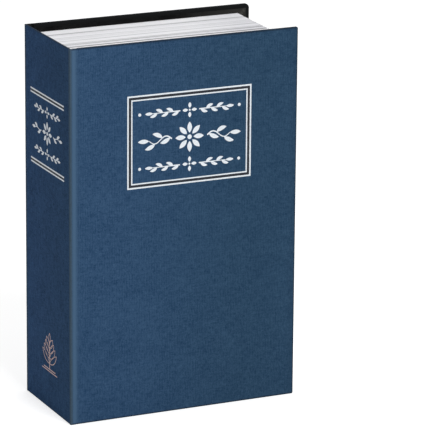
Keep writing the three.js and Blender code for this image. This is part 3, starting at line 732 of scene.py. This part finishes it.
makeLiningSheet("front_lining", -1, "cover", "front_endpaper")
makeLiningSheet("back_lining", 1, "case_and_tray", "back_endpaper")
print("covers and spine made")

pageBlock = dict(
    spine=-56.2, fore=51.0, foot=4.0, head=176.0, front=-25.2, back=25.5, wall=4.0,
    samples=760, flatPoints=28, tallPoints=40, seed=7,
    leaf=0.42, uneven=(0.7, 1.3), nick=0.05, nickWidth=0.07,
    gaps=(-19.5, -14.5, -8.0, -3.8, -1.9, 3.6, 9.8, 17.2),
    strengths=(0.4, 0.45, 1.5, 1.0, 0.5, 0.35, 0.35, 0.8),
    gapWidth=0.55, thinGap=0.11, thinCount=60, thinClear=1, thinStrengths=(0.08, 0.45), deepest=0.22,
    openTurns=37, openDrift=1.7, openShare=0.15, shutOnFore=0.45, bevel=0.12, bevelWidth=0.3,
    sway=0.3, swayTurns=(23, 51), swayDrift=0.31, foreEdgeDarker=(18, 46),
)


# Page edges: a wavy profile across the leaves, carried along foot, fore-edge and head. Each leaf dips by a
# small rounded nick, and each parting by its depth times a bell curve of the distance to it. Along the way
# the partings open and close by a sine, and the leaves sway by two more.
def makePages(p):
    rng = np.random.default_rng(p["seed"])
    front, back = p["front"], p["back"]
    across = np.linspace(front, back, p["samples"])
    leaves = np.cumsum(rng.uniform(*p["uneven"], 200)) * p["leaf"] + front
    leaves = leaves[leaves < back]
    nearest = np.abs(across[:, None] - leaves[None, :]).min(1)
    nick = p["nick"] * bell(nearest, p["nickWidth"])
    thin = rng.uniform(front + p["thinClear"], back - p["thinClear"], p["thinCount"])
    places = np.concatenate([p["gaps"], thin])
    strong = np.concatenate([p["strengths"], rng.uniform(*p["thinStrengths"], len(thin))])
    wide = np.where(np.arange(len(places)) < len(p["gaps"]), p["gapWidth"], p["thinGap"])
    gap = (strong * bell(across[:, None] - places, wide)).sum(1)
    fromFront, fromBack = across - front, back - across
    bevel = p["bevel"] * (np.exp(-fromFront / p["bevelWidth"]) + np.exp(-fromBack / p["bevelWidth"]))
    flat, tall = p["flatPoints"], p["tallPoints"]
    foot = np.linspace(p["spine"], p["fore"], flat)
    fore = np.linspace(p["foot"], p["head"], tall)
    base = np.concatenate([
        np.stack([foot, np.full_like(foot, p["foot"])], -1),
        np.stack([np.full_like(fore, p["fore"]), fore], -1)[1:-1],
        np.stack([foot, np.full_like(foot, p["head"])], -1)[::-1],
    ])
    top = flat + tall - 2  # the first point of the head, at its corner
    inward = np.zeros_like(base)
    inward[:flat], inward[flat:top], inward[top:] = (0, 1), (-1, 0), (0, -1)
    inward[flat - 1], inward[top] = (-1, 1), (-1, -1)
    run = np.linspace(0, 1, len(base))[:, None]
    swayShape = np.sin(np.pi * fromFront / (back - front))
    slow, quick = p["swayTurns"]
    waves = np.sin(slow * run + 1) + 0.6 * np.sin(quick * run + across * p["swayDrift"])
    sway = p["sway"] * swayShape * waves
    onFore = np.zeros((len(base), 1))
    onFore[flat:top] = 1
    opening = 1 - p["openShare"] + p["openShare"] * np.sin(run * p["openTurns"] + across * p["openDrift"])
    opening = opening * (1 - p["shutOnFore"] * onFore)
    outer = nick + p["deepest"] * np.clip(gap * opening, 0, 1.2) + bevel
    depth = np.concatenate([outer, np.full((len(base), 2), p["wall"])], 1)
    y = np.concatenate([across + sway * 0.5, np.broadcast_to([back, front], (len(base), 2))], 1)
    y = np.clip(y, front, back)
    x = base[:, :1] + inward[:, :1] * depth
    z = base[:, 1:] + inward[:, 1:] * depth
    # Painted shade: partings and nicks are darkened in colour as well as cut in
    partingShade = np.concatenate([np.clip(gap * opening + nick * 3, 0, 1), np.zeros((len(base), 2))], 1)
    # Darker towards the fore-edge
    marks = dict(partingShade=partingShade, foreEdgeDarker=smoothStep(np.broadcast_to(x, y.shape), *p["foreEdgeDarker"]))
    shell = loftShell(np.stack([x, y, z], -1))
    stands = ("page_frame",)
    return addPiece("page_block", [shell], pageEdges, "case_and_tray", stands, 50, marks)


makePages(pageBlock)
print("page edges made")


# Heights of the lower and upper side over the cloth. Strokes that overlap end at different heights.
lifts = dict(
    line=(-0.03, 0.03), leaf=(-0.03, 0.055), ink=(-0.03, 0.012), stem=(-0.03, 0.04), foot=(-0.03, 0.05),
)


# Flat decoration is made of strokes: a band each side of a path, mitred where the path bends. The half width
# goes along the sum of the two normals divided by one plus their cosine, or by blunt at the sharpest bends.
def strokeShell(path, width, place, loop=False, lift=lifts["line"], blunt=0.6):
    path = np.asarray(path, float)
    ahead = np.roll(path, -1, 0) - path
    if not loop:
        ahead[-1] = ahead[-2]
    ahead /= np.linalg.norm(ahead, axis=1)[:, None]
    behind = np.roll(ahead, 1, 0)
    if not loop:
        behind[0] = ahead[0]
    total = ahead + behind
    share = np.maximum(1 + (ahead * behind).sum(1), blunt)[:, None]
    normal = np.stack([-total[:, 1], total[:, 0]], -1) / share
    half = np.broadcast_to(np.asarray(width, float) / 2, len(path))[:, None]
    left, right = path + normal * half, path - normal * half
    rings = [place(left, lift[0]), place(left, lift[1]), place(right, lift[1]), place(right, lift[0])]
    return loftShell(np.stack(rings, 1), ring=loop)


# A smooth path through points: Catmull-Rom, cubic between each pair
def smoothPath(points, steps=6):
    p = np.asarray(points, float)
    p = np.concatenate([2 * p[:1] - p[1:2], p, 2 * p[-1:] - p[-2:-1]])
    t = np.linspace(0, 1, steps, endpoint=False)[None, :, None]
    a, b, c, d = (p[i:len(p) - 3 + i][:, None] for i in range(4))
    curve = 0.5 * (2 * b + (c - a) * t + (2 * a - 5 * b + 4 * c - d) * t**2 + (3 * b - a - 3 * c + d) * t**3)
    return np.concatenate([curve.reshape(-1, 2), p[-2:-1]])


# Places on the front cover and on the spine: sideways and up become two axes, and the lift goes outwards
def onFront(points, lift):
    return np.stack([points[:, 0], np.full(len(points), cover["face"] - lift), points[:, 1]], -1)


def onSpine(points, lift):
    return np.stack([np.full(len(points), spinePanel["face"] - lift), -points[:, 0], points[:, 1]], -1)


# Four corners: half the width and height each way from the centre
def rectanglePath(centre, width, height):
    corners = np.array([(-1, -1), (1, -1), (1, 1), (-1, 1)]) * (width / 2, height / 2)
    return corners + centre


# A bent line: the sum of equal steps, whose direction turns evenly from the angle by the bend
def bentLine(start, angle, length, bend, count):
    t = np.linspace(0, 1, count)
    turn = math.radians(angle) + bend * t
    step = np.stack([np.cos(turn), np.sin(turn)], -1) * length / (count - 1)
    return t, turn, np.array(start) + np.concatenate([[[0, 0]], np.cumsum(step[:-1], 0)])


# A leaf: a bent line whose width is the sine of the way along it, to the power 0.8, and at least the tip
def leafShell(start, angle, length, width, place, bend=0.0, tip=0.04):
    t, _, path = bentLine(start, angle, length, bend, 9)
    return strokeShell(path, tip + width * np.sin(np.pi * t) ** 0.8, place, lift=lifts["leaf"])


# The same leaf as a line round its edge
def leafOutline(start, angle, length, width, place, bend=0.0, line=0.34):
    t, turn, path = bentLine(start, angle, length, bend, 10)
    away = np.stack([-np.sin(turn), np.cos(turn)], -1) * (width / 2 * np.sin(np.pi * t) ** 0.8)[:, None]
    return strokeShell(np.concatenate([path + away, (path - away)[-2:0:-1]]), line, place, True)


# A dot: a short stroke whose width is the chord of a circle
def dotShell(centre, radius, place):
    s = np.linspace(-0.995, 0.995, 11)
    path = np.stack([centre[0] + s * radius, np.full_like(s, centre[1])], -1)
    return strokeShell(path, 2 * radius * np.sqrt(1 - s**2), place)


# A rosette: a dot, and leaves from the inner to the outer radius at equal angles round it
def rosetteShells(centre, place, petals, inner, outer, width):
    shells = [dotShell(centre, inner * 0.55, place)]
    for k in range(petals):
        angle = 360 * k / petals + 90
        away = np.array([math.cos(math.radians(angle)), math.sin(math.radians(angle))])
        shells.append(leafShell(centre + inner * away, angle, outer - inner, width, place))
    return shells


garlandLeaf = dict(spacing=0.62, breadth=0.36, tilt=42, bend=0.7, points=40)


# A garland: a stem outwards that waves by one sine, with leaves set along it in turn, and the same mirrored
def garlandShells(centre, place, reach, start, sway, leaf, stem):
    g = garlandLeaf
    shells = []
    count = int((reach - start) / (leaf * g["spacing"]))
    along = np.linspace(start, reach, g["points"])
    path = np.stack([along, sway * np.sin((along - start) / (reach - start) * 2 * np.pi)], -1)
    for side in (-1, 1):
        placeSide = lambda points, lift, side=side: place(points * (side, 1) + centre, lift)
        shells.append(strokeShell(path, np.linspace(stem, stem * 0.5, g["points"]), placeSide))
        for k in range(count):
            turned = 1 if k % 2 else -1
            foot = path[int((k + 0.3) / count * (g["points"] - 1))]
            shells.append(
                leafShell(foot, turned * g["tilt"], leaf, leaf * g["breadth"], placeSide, -turned * g["bend"])
            )
        shells.append(leafShell(path[-1], 0, leaf, leaf * g["breadth"], placeSide))
    return shells


# A rosette with a garland each way, and the same smaller in a row below and a row above, with dots
def ornamentShells(centre, place, o):
    shells = rosetteShells(centre, place, *o["rosette"]) + garlandShells(centre, place, *o["garland"])
    for rise in (-o["rise"], o["rise"]):
        row = centre + (0, rise)
        shells += rosetteShells(row, place, *o["rowRosette"]) + garlandShells(row, place, *o["rowGarland"])
        shells += [dotShell(row + (x, 0), o["dot"], place) for x in o["dots"]]
    return shells


# A rosette is its petals, inner and outer radius and petal width. A garland is its reach, start, sway, leaf
# length and stem width.
titleFrame = dict(
    centre=(2.4, 132.9), width=62.8, height=44.3, line=0.73, inner=1.95, innerLine=0.62, ink=1.45,
    rosette=(8, 2.0, 7.2, 2.3), garland=(20.5, 9.0, 1.6, 5.6, 0.7), rise=12.9,
    rowRosette=(4, 0.9, 3.6, 1.5), rowGarland=(18.5, 4.8, 0.0, 4.0, 0.6), dots=(-25.2, 25.2), dot=0.75,
)


# Frame on the front: two foil rectangles, one in the other, an ink band between them and an ornament within
def makeTitleFrame(t):
    centre = np.array(t["centre"])
    outer = rectanglePath(centre, t["width"] - t["line"], t["height"] - t["line"])
    shrink = 2 * t["inner"] + t["innerLine"]
    inner = rectanglePath(centre, t["width"] - shrink, t["height"] - shrink)
    between = rectanglePath(centre, t["width"] - t["line"] - t["inner"], t["height"] - t["line"] - t["inner"])
    ink = [strokeShell(between, t["ink"], onFront, True, lifts["ink"])]
    addPiece("title_frame_ink", ink, inkLine, "cover", sharp=60)
    shells = [strokeShell(outer, t["line"], onFront, True), strokeShell(inner, t["innerLine"], onFront, True)]
    shells += ornamentShells(centre, onFront, t)
    return addPiece("title_frame", shells, silverFoil, "cover", sharp=60)


spineRules = dict(
    middle=133.8, half=20.2, rules=(151.45, 149.75, 117.9, 116.2), line=0.72, inks=(150.6, 117.05), ink=1.3,
    rosette=(8, 1.7, 5.6, 1.8), garland=(14.2, 7.2, -0.35, 3.9, 0.55), rise=10,
    rowRosette=(4, 0.8, 2.8, 1.2), rowGarland=(12.5, 3.8, 0.0, 3.3, 0.5), dots=(), dot=0,
)


# Rules on the spine: level strokes in pairs, with an ink band in each pair and an ornament between the pairs
def makeSpineRules(s):
    ruleShell = lambda z, *rest: strokeShell([(-s["half"], z), (s["half"], z)], *rest)
    ink = [ruleShell(z, s["ink"], onSpine, False, lifts["ink"]) for z in s["inks"]]
    addPiece("spine_title_ink", ink, inkLine, "spine", sharp=60)
    shells = [ruleShell(z, s["line"], onSpine) for z in s["rules"]]
    shells += ornamentShells(np.array([0, s["middle"]]), onSpine, s)
    return addPiece("spine_title", shells, spineFoil, "spine", sharp=60)


# Heights are over the foot: the stem's two ends, the lowest leaves, and each level line with its half length
spineSprig = dict(
    centre=1.6, foot=18.4, stem=(1.2, 14.4), stemWidth=(0.55, 0.3), points=12, pairs=4, lowest=4,
    tipLeaf=(4.4, 2.0), leaf=10.2, width=3.0, shorter=0.14, tilt=66, steeper=6, bend=0.4,
    feet=((0, 9.2), (1.1, 7.0)), footLine=0.42,
)


# Sprig on the spine: a tapering stem, leaves in pairs, shorter and steeper upwards, and one at the tip
def makeSprig(s):
    centre, foot, points = s["centre"], s["foot"], s["points"]
    stemStart, stemTop = (foot + z for z in s["stem"])
    path = np.stack([np.full(points, centre), np.linspace(stemStart, stemTop, points)], -1)
    shells = [strokeShell(path, np.linspace(*s["stemWidth"], points), onSpine, lift=lifts["stem"])]
    for k in range(s["pairs"]):
        z = foot + s["lowest"] + k * (stemTop - foot - s["lowest"]) / s["pairs"]
        length = s["leaf"] * (1 - s["shorter"] * k)
        for side in (-1, 1):
            angle = 90 - side * (s["tilt"] - s["steeper"] * k)
            shells.append(leafOutline((centre, z), angle, length, s["width"], onSpine, side * s["bend"]))
    shells.append(leafOutline((centre, stemTop), 90, *s["tipLeaf"], onSpine))
    for rise, half in s["feet"]:
        line = [(centre - half, foot + rise), (centre + half, foot + rise)]
        shells.append(strokeShell(line, s["footLine"], onSpine, lift=lifts["foot"]))
    return addPiece("spine_sprig", shells, copperFoil, "spine", sharp=60)


makeTitleFrame(titleFrame)
makeSpineRules(spineRules)
makeSprig(spineSprig)
print("foil decoration made")

# The merging distance is in metres and the angles are in degrees
softening = dict(merge=2e-6, flat=0.4, segments=2, angle=32, weight=90)


# A CAD node's copy, its doubles merged, flat faces joined and edges rounded. Hammered paint gets worn rims.
def softened(node, name, width, material, body, slotName):
    s = softening
    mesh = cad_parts[node].data.copy()
    mesh.name = name
    mesh.materials.clear()
    work = bmesh.new()
    work.from_mesh(mesh)
    bmesh.ops.remove_doubles(work, verts=work.verts, dist=s["merge"])
    bmesh.ops.dissolve_limit(work, angle_limit=math.radians(s["flat"]), verts=work.verts, edges=work.edges)
    for face in work.faces:
        face.smooth = True
    work.to_mesh(mesh)
    work.free()
    mesh.materials.append(material)
    piece = bpy.data.objects.new(name, mesh)
    scene.collection.objects.link(piece)
    bevel = piece.modifiers.new("bevel", "BEVEL")
    if material == hammeredGrey:
        mesh.materials.append(hammeredRim)
        bevel.material = 1
    bevel.width = width * mm
    bevel.segments = s["segments"]
    bevel.limit_method = "ANGLE"
    bevel.angle_limit = math.radians(s["angle"])
    flatten = piece.modifiers.new("normals", "WEIGHTED_NORMAL")
    flatten.mode = "FACE_AREA"
    flatten.weight = s["weight"]
    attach(piece, body)
    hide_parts(node)
    return piece


# Node, piece, width of its rounded edges, material, body and slot
metalPieces = [
    ("tray", "steel_tray", 0.28, hammeredGrey, "case_and_tray", "grey_steel"),
    ("lid", "steel_lid", 0.28, hammeredGrey, "lid", "grey_steel"),
    ("hinge_pin", "pin_rod", 0.15, zincPlate, "case_and_tray", "plated_steel"),
    ("strike_bracket", "strike_angle", 0.2, zincPlate, "case_and_tray", "plated_steel"),
    ("strike_rivet_1", "rivet_low", 0.25, zincPlate, "case_and_tray", "plated_steel"),
    ("strike_rivet_2", "rivet_high", 0.25, zincPlate, "case_and_tray", "plated_steel"),
    ("lock_faceplate", "lock_plate", 0.18, platePlastic, "lid", "black_plastic"),
    ("gold_trim", "gold_edge", 0.1, goldPaint, "lid", "gold_line"),
    ("detent_spring", "click_spring", 0.06, zincPlate, "lid", "plated_steel"),
    ("lock_case", "lock_body", 0.2, castAlloy, "lid", "lock_alloy"),
    ("lock_back_cover", "lock_cover", 0.15, zincPlate, "lid", "plated_steel"),
    ("locking_shaft", "lock_shaft", 0.1, turnedSteel, "locking_shaft", "plated_steel"),
    ("knob_spindle", "spindle", 0.15, turnedSteel, "knob", "plated_steel"),
    ("tongue", "lock_tongue", 0.2, zincPlate, "knob", "plated_steel"),
    ("tongue_nut", "nut", 0.2, zincPlate, "knob", "plated_steel"),
]
for k in (1, 2, 3, 4):
    metalPieces.append((f"case_screw_{k}", f"screw_{k}", 0.15, turnedSteel, "lid", "plated_steel"))
for k in (1, 2, 3):
    metalPieces.append((f"digit_drum_{k}", f"dial_{k}_wheel", 0.08, dialPlastic, f"dial_{k}", "dial_plastic"))
for k in (1, 2, 3):
    metalPieces.append((f"code_ring_{k}", f"dial_{k}_ring", 0.08, castAlloy, f"dial_{k}", "lock_alloy"))
for row in metalPieces:
    softened(*row)
print("metal and moulded pieces made")

knobShape = dict(
    x=17.4, z=74.7, front=-24.8, back=-21.2, radius=6.65, shoulder=0.5, bore=2.2, dish=0.21,
    ring=4.7, ringDepth=0.22, ringWidth=0.16, ringRows=0.3, dishRows=(0.6, 0.4), ridges=56, ridge=0.14,
    sideStart=0.7, sideEnd=0.02, chamfer=0.3, pole=0.02,
)


# Knob: radius and depth along a profile, turned about its axis. Round its side the radius dips by a raised
# cosine for each ridge. Its face has a shallow dish, by the square of the radius, and a ring groove, by a
# bell curve.
def makeKnob(k):
    ring, shoulder, pole = k["ring"], k["shoulder"], k["pole"]
    first, last = k["dishRows"]
    inDish = np.linspace(first, ring - last, 9)
    inRing = np.linspace(ring - k["ringRows"], ring + k["ringRows"], 9)
    rFace = np.concatenate([[pole], inDish, inRing])
    dip = k["dish"] * (1 - (rFace / ring) ** 2) + k["ringDepth"] * bell(rFace - ring, k["ringWidth"])
    turnIn = np.linspace(0, np.pi / 2, 6)
    rSide = np.concatenate([k["radius"] - shoulder + shoulder * np.sin(turnIn), np.full(4, k["radius"])])
    onShoulder = k["front"] + shoulder * (1 - np.cos(turnIn))
    straight = np.linspace(k["front"] + k["sideStart"], k["back"] - k["sideEnd"], 4)
    ySide = np.concatenate([onShoulder, straight])
    radius = np.concatenate([rFace, rSide, [k["radius"] - k["chamfer"], k["bore"], pole]])
    y = np.concatenate([k["front"] + dip, ySide, [k["back"], k["back"], k["back"]]])
    onSide = np.concatenate([np.zeros(len(rFace)), np.linspace(0, 1, 6), np.ones(4), [0.4, 0, 0]])
    turn = np.linspace(0, 2 * np.pi, k["ridges"] * 6, endpoint=False)
    wave = k["ridge"] * (0.5 - 0.5 * np.cos(k["ridges"] * turn))
    r = radius[:, None] - onSide[:, None] * wave[None, :]
    depth = np.broadcast_to(y[:, None], r.shape)
    shell = loftShell(np.stack([k["x"] + r * np.cos(turn), depth, k["z"] + r * np.sin(turn)], -1))
    edge = onSide[:, None] * (1 - wave / k["ridge"])[None, :]  # 1 on the crests
    return addPiece("lock_knob", [shell], knobPlastic, "knob", ("knob",), 40, dict(edge=edge))


makeKnob(knobShape)

digits = dict(
    height=3.1, width=1.95, stroke=0.5, dash=0.36, radius=6.4, x=17.4, y=-16.9, z=(103.816, 97.666, 91.516),
    turned=(0, 0, 5.0), order="0-123456789", lift=(-0.05, 0.05), layer=0.01,
)
# Strokes as points from -1 to 1 each way. 0, 6, 8 and 9 have rings and are in digitStrokes.
digitPaths = {
    "1": [[(-0.5, 0.55), (0.1, 1), (0.1, -1)]],
    "2": [[(-1, 0.5), (-0.7, 0.88), (0, 1), (0.75, 0.85), (0.95, 0.45), (0.6, 0), (-1, -1), (1, -1)]],
    "3": [[(-0.9, 0.8), (-0.1, 1), (0.7, 0.85), (0.85, 0.5), (0.5, 0.12), (-0.2, 0.04)],
          [(-0.2, 0.04), (0.6, -0.06), (1, -0.5), (0.7, -0.88), (-0.1, -1), (-1, -0.8)]],
    "4": [[(-0.3, 1), (-1, -0.4), (1, -0.4)], [(0.4, 0.3), (0.4, -1)]],
    "5": [[(0.85, 1), (-0.75, 1), (-0.85, 0.1)],
          [(-0.85, 0.1), (0, 0.28), (0.8, 0.05), (1, -0.4), (0.65, -0.88), (-0.1, -1), (-1, -0.8)]],
    "7": [[(-1, 1), (1, 1), (-0.2, -1)]],
    "-": [[(-1.4, 0), (1.4, 0)]],
}


# Ring of points: cosine and sine, squared off by a power
def ringPath(centre, halfWidth, halfHeight, power=0.8, count=28):
    turn = np.linspace(0, 2 * np.pi, count, endpoint=False)
    bulge = lambda v: np.sign(v) * np.abs(v) ** power
    across, up = halfWidth * bulge(np.cos(turn)), halfHeight * bulge(np.sin(turn))
    return np.stack([centre[0] + across, centre[1] + up], -1)


# The strokes of a number, each with whether it is a closed ring. A 9 is a 6 turned half round.
def digitStrokes(character):
    if character == "0":
        return [(ringPath((0, 0), 1, 1, 0.55), True)]
    if character == "8":
        return [(ringPath((0, 0.5), 0.85, 0.5), True), (ringPath((0, -0.48), 1, 0.52), True)]
    if character in "69":
        tail = smoothPath([(0.75, 0.85), (0, 1), (-0.7, 0.6), (-1, -0.3)])
        flip = 1 if character == "6" else -1
        return [(ringPath((0, -0.4), 1, 0.6) * flip, True), (tail * flip, False)]
    sharp = character in "147-"
    return [(np.asarray(p, float) if sharp else smoothPath(p), False) for p in digitPaths[character]]


# Long straight strokes get points at even steps, so that they bend round the dial
def densePath(path, step=0.4, enough=12):
    if len(path) > enough:
        return path
    counts = [max(int(np.linalg.norm(b - a) / step), 1) for a, b in zip(path[:-1], path[1:])]
    runs = [np.linspace(a, b, n, endpoint=False) for a, b, n in zip(path[:-1], path[1:], counts)]
    return np.concatenate([*runs, path[-1:]])


# Numbers round a dial: the sideways place becomes an angle at the dial's radius. Strokes that overlap lie at
# slightly different heights.
def makeDigits(index, d):
    shells = []
    pitch = 2 * math.pi / len(d["order"])
    inside = np.array([(d["width"] - d["stroke"]) / 2, (d["height"] - d["stroke"]) / 2])
    for place, character in enumerate(d["order"]):
        centre = place * pitch + math.radians(d["turned"][index])

        def wrap(points, lift):
            angle, r = centre + points[:, 0] / d["radius"], d["radius"] + lift
            x, y = d["x"] + r * np.sin(angle), d["y"] - r * np.cos(angle)
            return np.stack([x, y, d["z"][index] + points[:, 1]], -1)

        width = d["dash"] if character == "-" else d["stroke"]
        for layer, (path, loop) in enumerate(digitStrokes(character)):
            scaled = path * inside if loop else densePath(path * inside)
            lift = (d["lift"][0], d["lift"][1] + d["layer"] * layer)
            shells.append(strokeShell(scaled, width, wrap, loop, lift))
    name = f"dial_{index + 1}_numbers"
    return addPiece(name, shells, dialPaint, f"dial_{index + 1}", sharp=50)


for index in range(3):
    makeDigits(index, digits)
print("lock made")


# Studio: pale floor, white to the camera, with soft lamps. Lengths here are in metres.
studio = dict(world=0.32, floor=(0.80, 0.80, 0.80, 1), glow=0.55, size=6.0)
lamps = [
    dict(name="key", place=(0.2, -1.3, 1.2), aim=(0, 0, 0.09), size=0.9, power=16.5),
    dict(name="fill", place=(-1.3, -0.7, 0.7), aim=(0, 0, 0.09), size=1.0, power=0.4),
    dict(name="top", place=(0.0, 0.3, 1.5), aim=(0, 0, 0.1), size=1.0, power=6.0),
]
white = (1, 1, 1, 1)


# The world lights the object at its strength, and is white to the camera, in gloss and through glass
def makeWorld(strength):
    world = bpy.data.worlds.new("studio")
    world.use_nodes = True
    tree = world.node_tree
    light = tree.nodes["Background"]
    light.inputs["Color"].default_value = white
    light.inputs["Strength"].default_value = strength
    shown = addNode(tree, "ShaderNodeBackground", {"Color": white, "Strength": 1.0})
    path = addNode(tree, "ShaderNodeLightPath")
    seen = calc(tree, "MAXIMUM", path.outputs["Is Camera Ray"], path.outputs["Is Glossy Ray"])
    seen = calc(tree, "MAXIMUM", seen, path.outputs["Is Transmission Ray"])
    mix = addNode(tree, "ShaderNodeMixShader", {0: seen, 1: light.outputs[0], 2: shown.outputs[0]})
    tree.links.new(mix.outputs[0], tree.nodes["World Output"].inputs["Surface"])
    scene.world = world


# The floor is matt, and glows to the camera only, which keeps the shadow
def makeFloor(s):
    material = bpy.data.materials.new("studioFloor")
    material.use_nodes = True
    tree = material.node_tree
    tree.nodes.remove(tree.nodes["Principled BSDF"])
    matt = addNode(tree, "ShaderNodeBsdfDiffuse", {"Color": s["floor"]})
    path = addNode(tree, "ShaderNodeLightPath")
    glow = addNode(tree, "ShaderNodeEmission", {"Color": white})
    tree.links.new(calc(tree, "MULTIPLY", path.outputs["Is Camera Ray"], s["glow"]), glow.inputs["Strength"])
    both = addNode(tree, "ShaderNodeAddShader", {0: matt.outputs[0], 1: glow.outputs[0]})
    tree.links.new(both.outputs[0], tree.nodes["Material Output"].inputs["Surface"])
    half = s["size"] / 2
    mesh = bpy.data.meshes.new("floor")
    corners = [(-half, -half, 0), (half, -half, 0), (half, half, 0), (-half, half, 0)]
    mesh.from_pydata(corners, [], [(0, 1, 2, 3)])
    mesh.materials.append(material)
    floor = bpy.data.objects.new("floor", mesh)
    scene.collection.objects.link(floor)


def makeLamp(lamp):
    data = bpy.data.lights.new(lamp["name"], "AREA")
    data.shape = "DISK"
    data.size = lamp["size"]
    data.energy = lamp["power"]
    lampObject = bpy.data.objects.new(lamp["name"], data)
    scene.collection.objects.link(lampObject)
    lampObject.location = lamp["place"]
    aim = Vector(lamp["aim"]) - Vector(lamp["place"])
    lampObject.rotation_euler = aim.to_track_quat("-Z", "Y").to_euler()


makeWorld(studio["world"])
makeFloor(studio)
for lamp in lamps:
    makeLamp(lamp)
print("studio made")
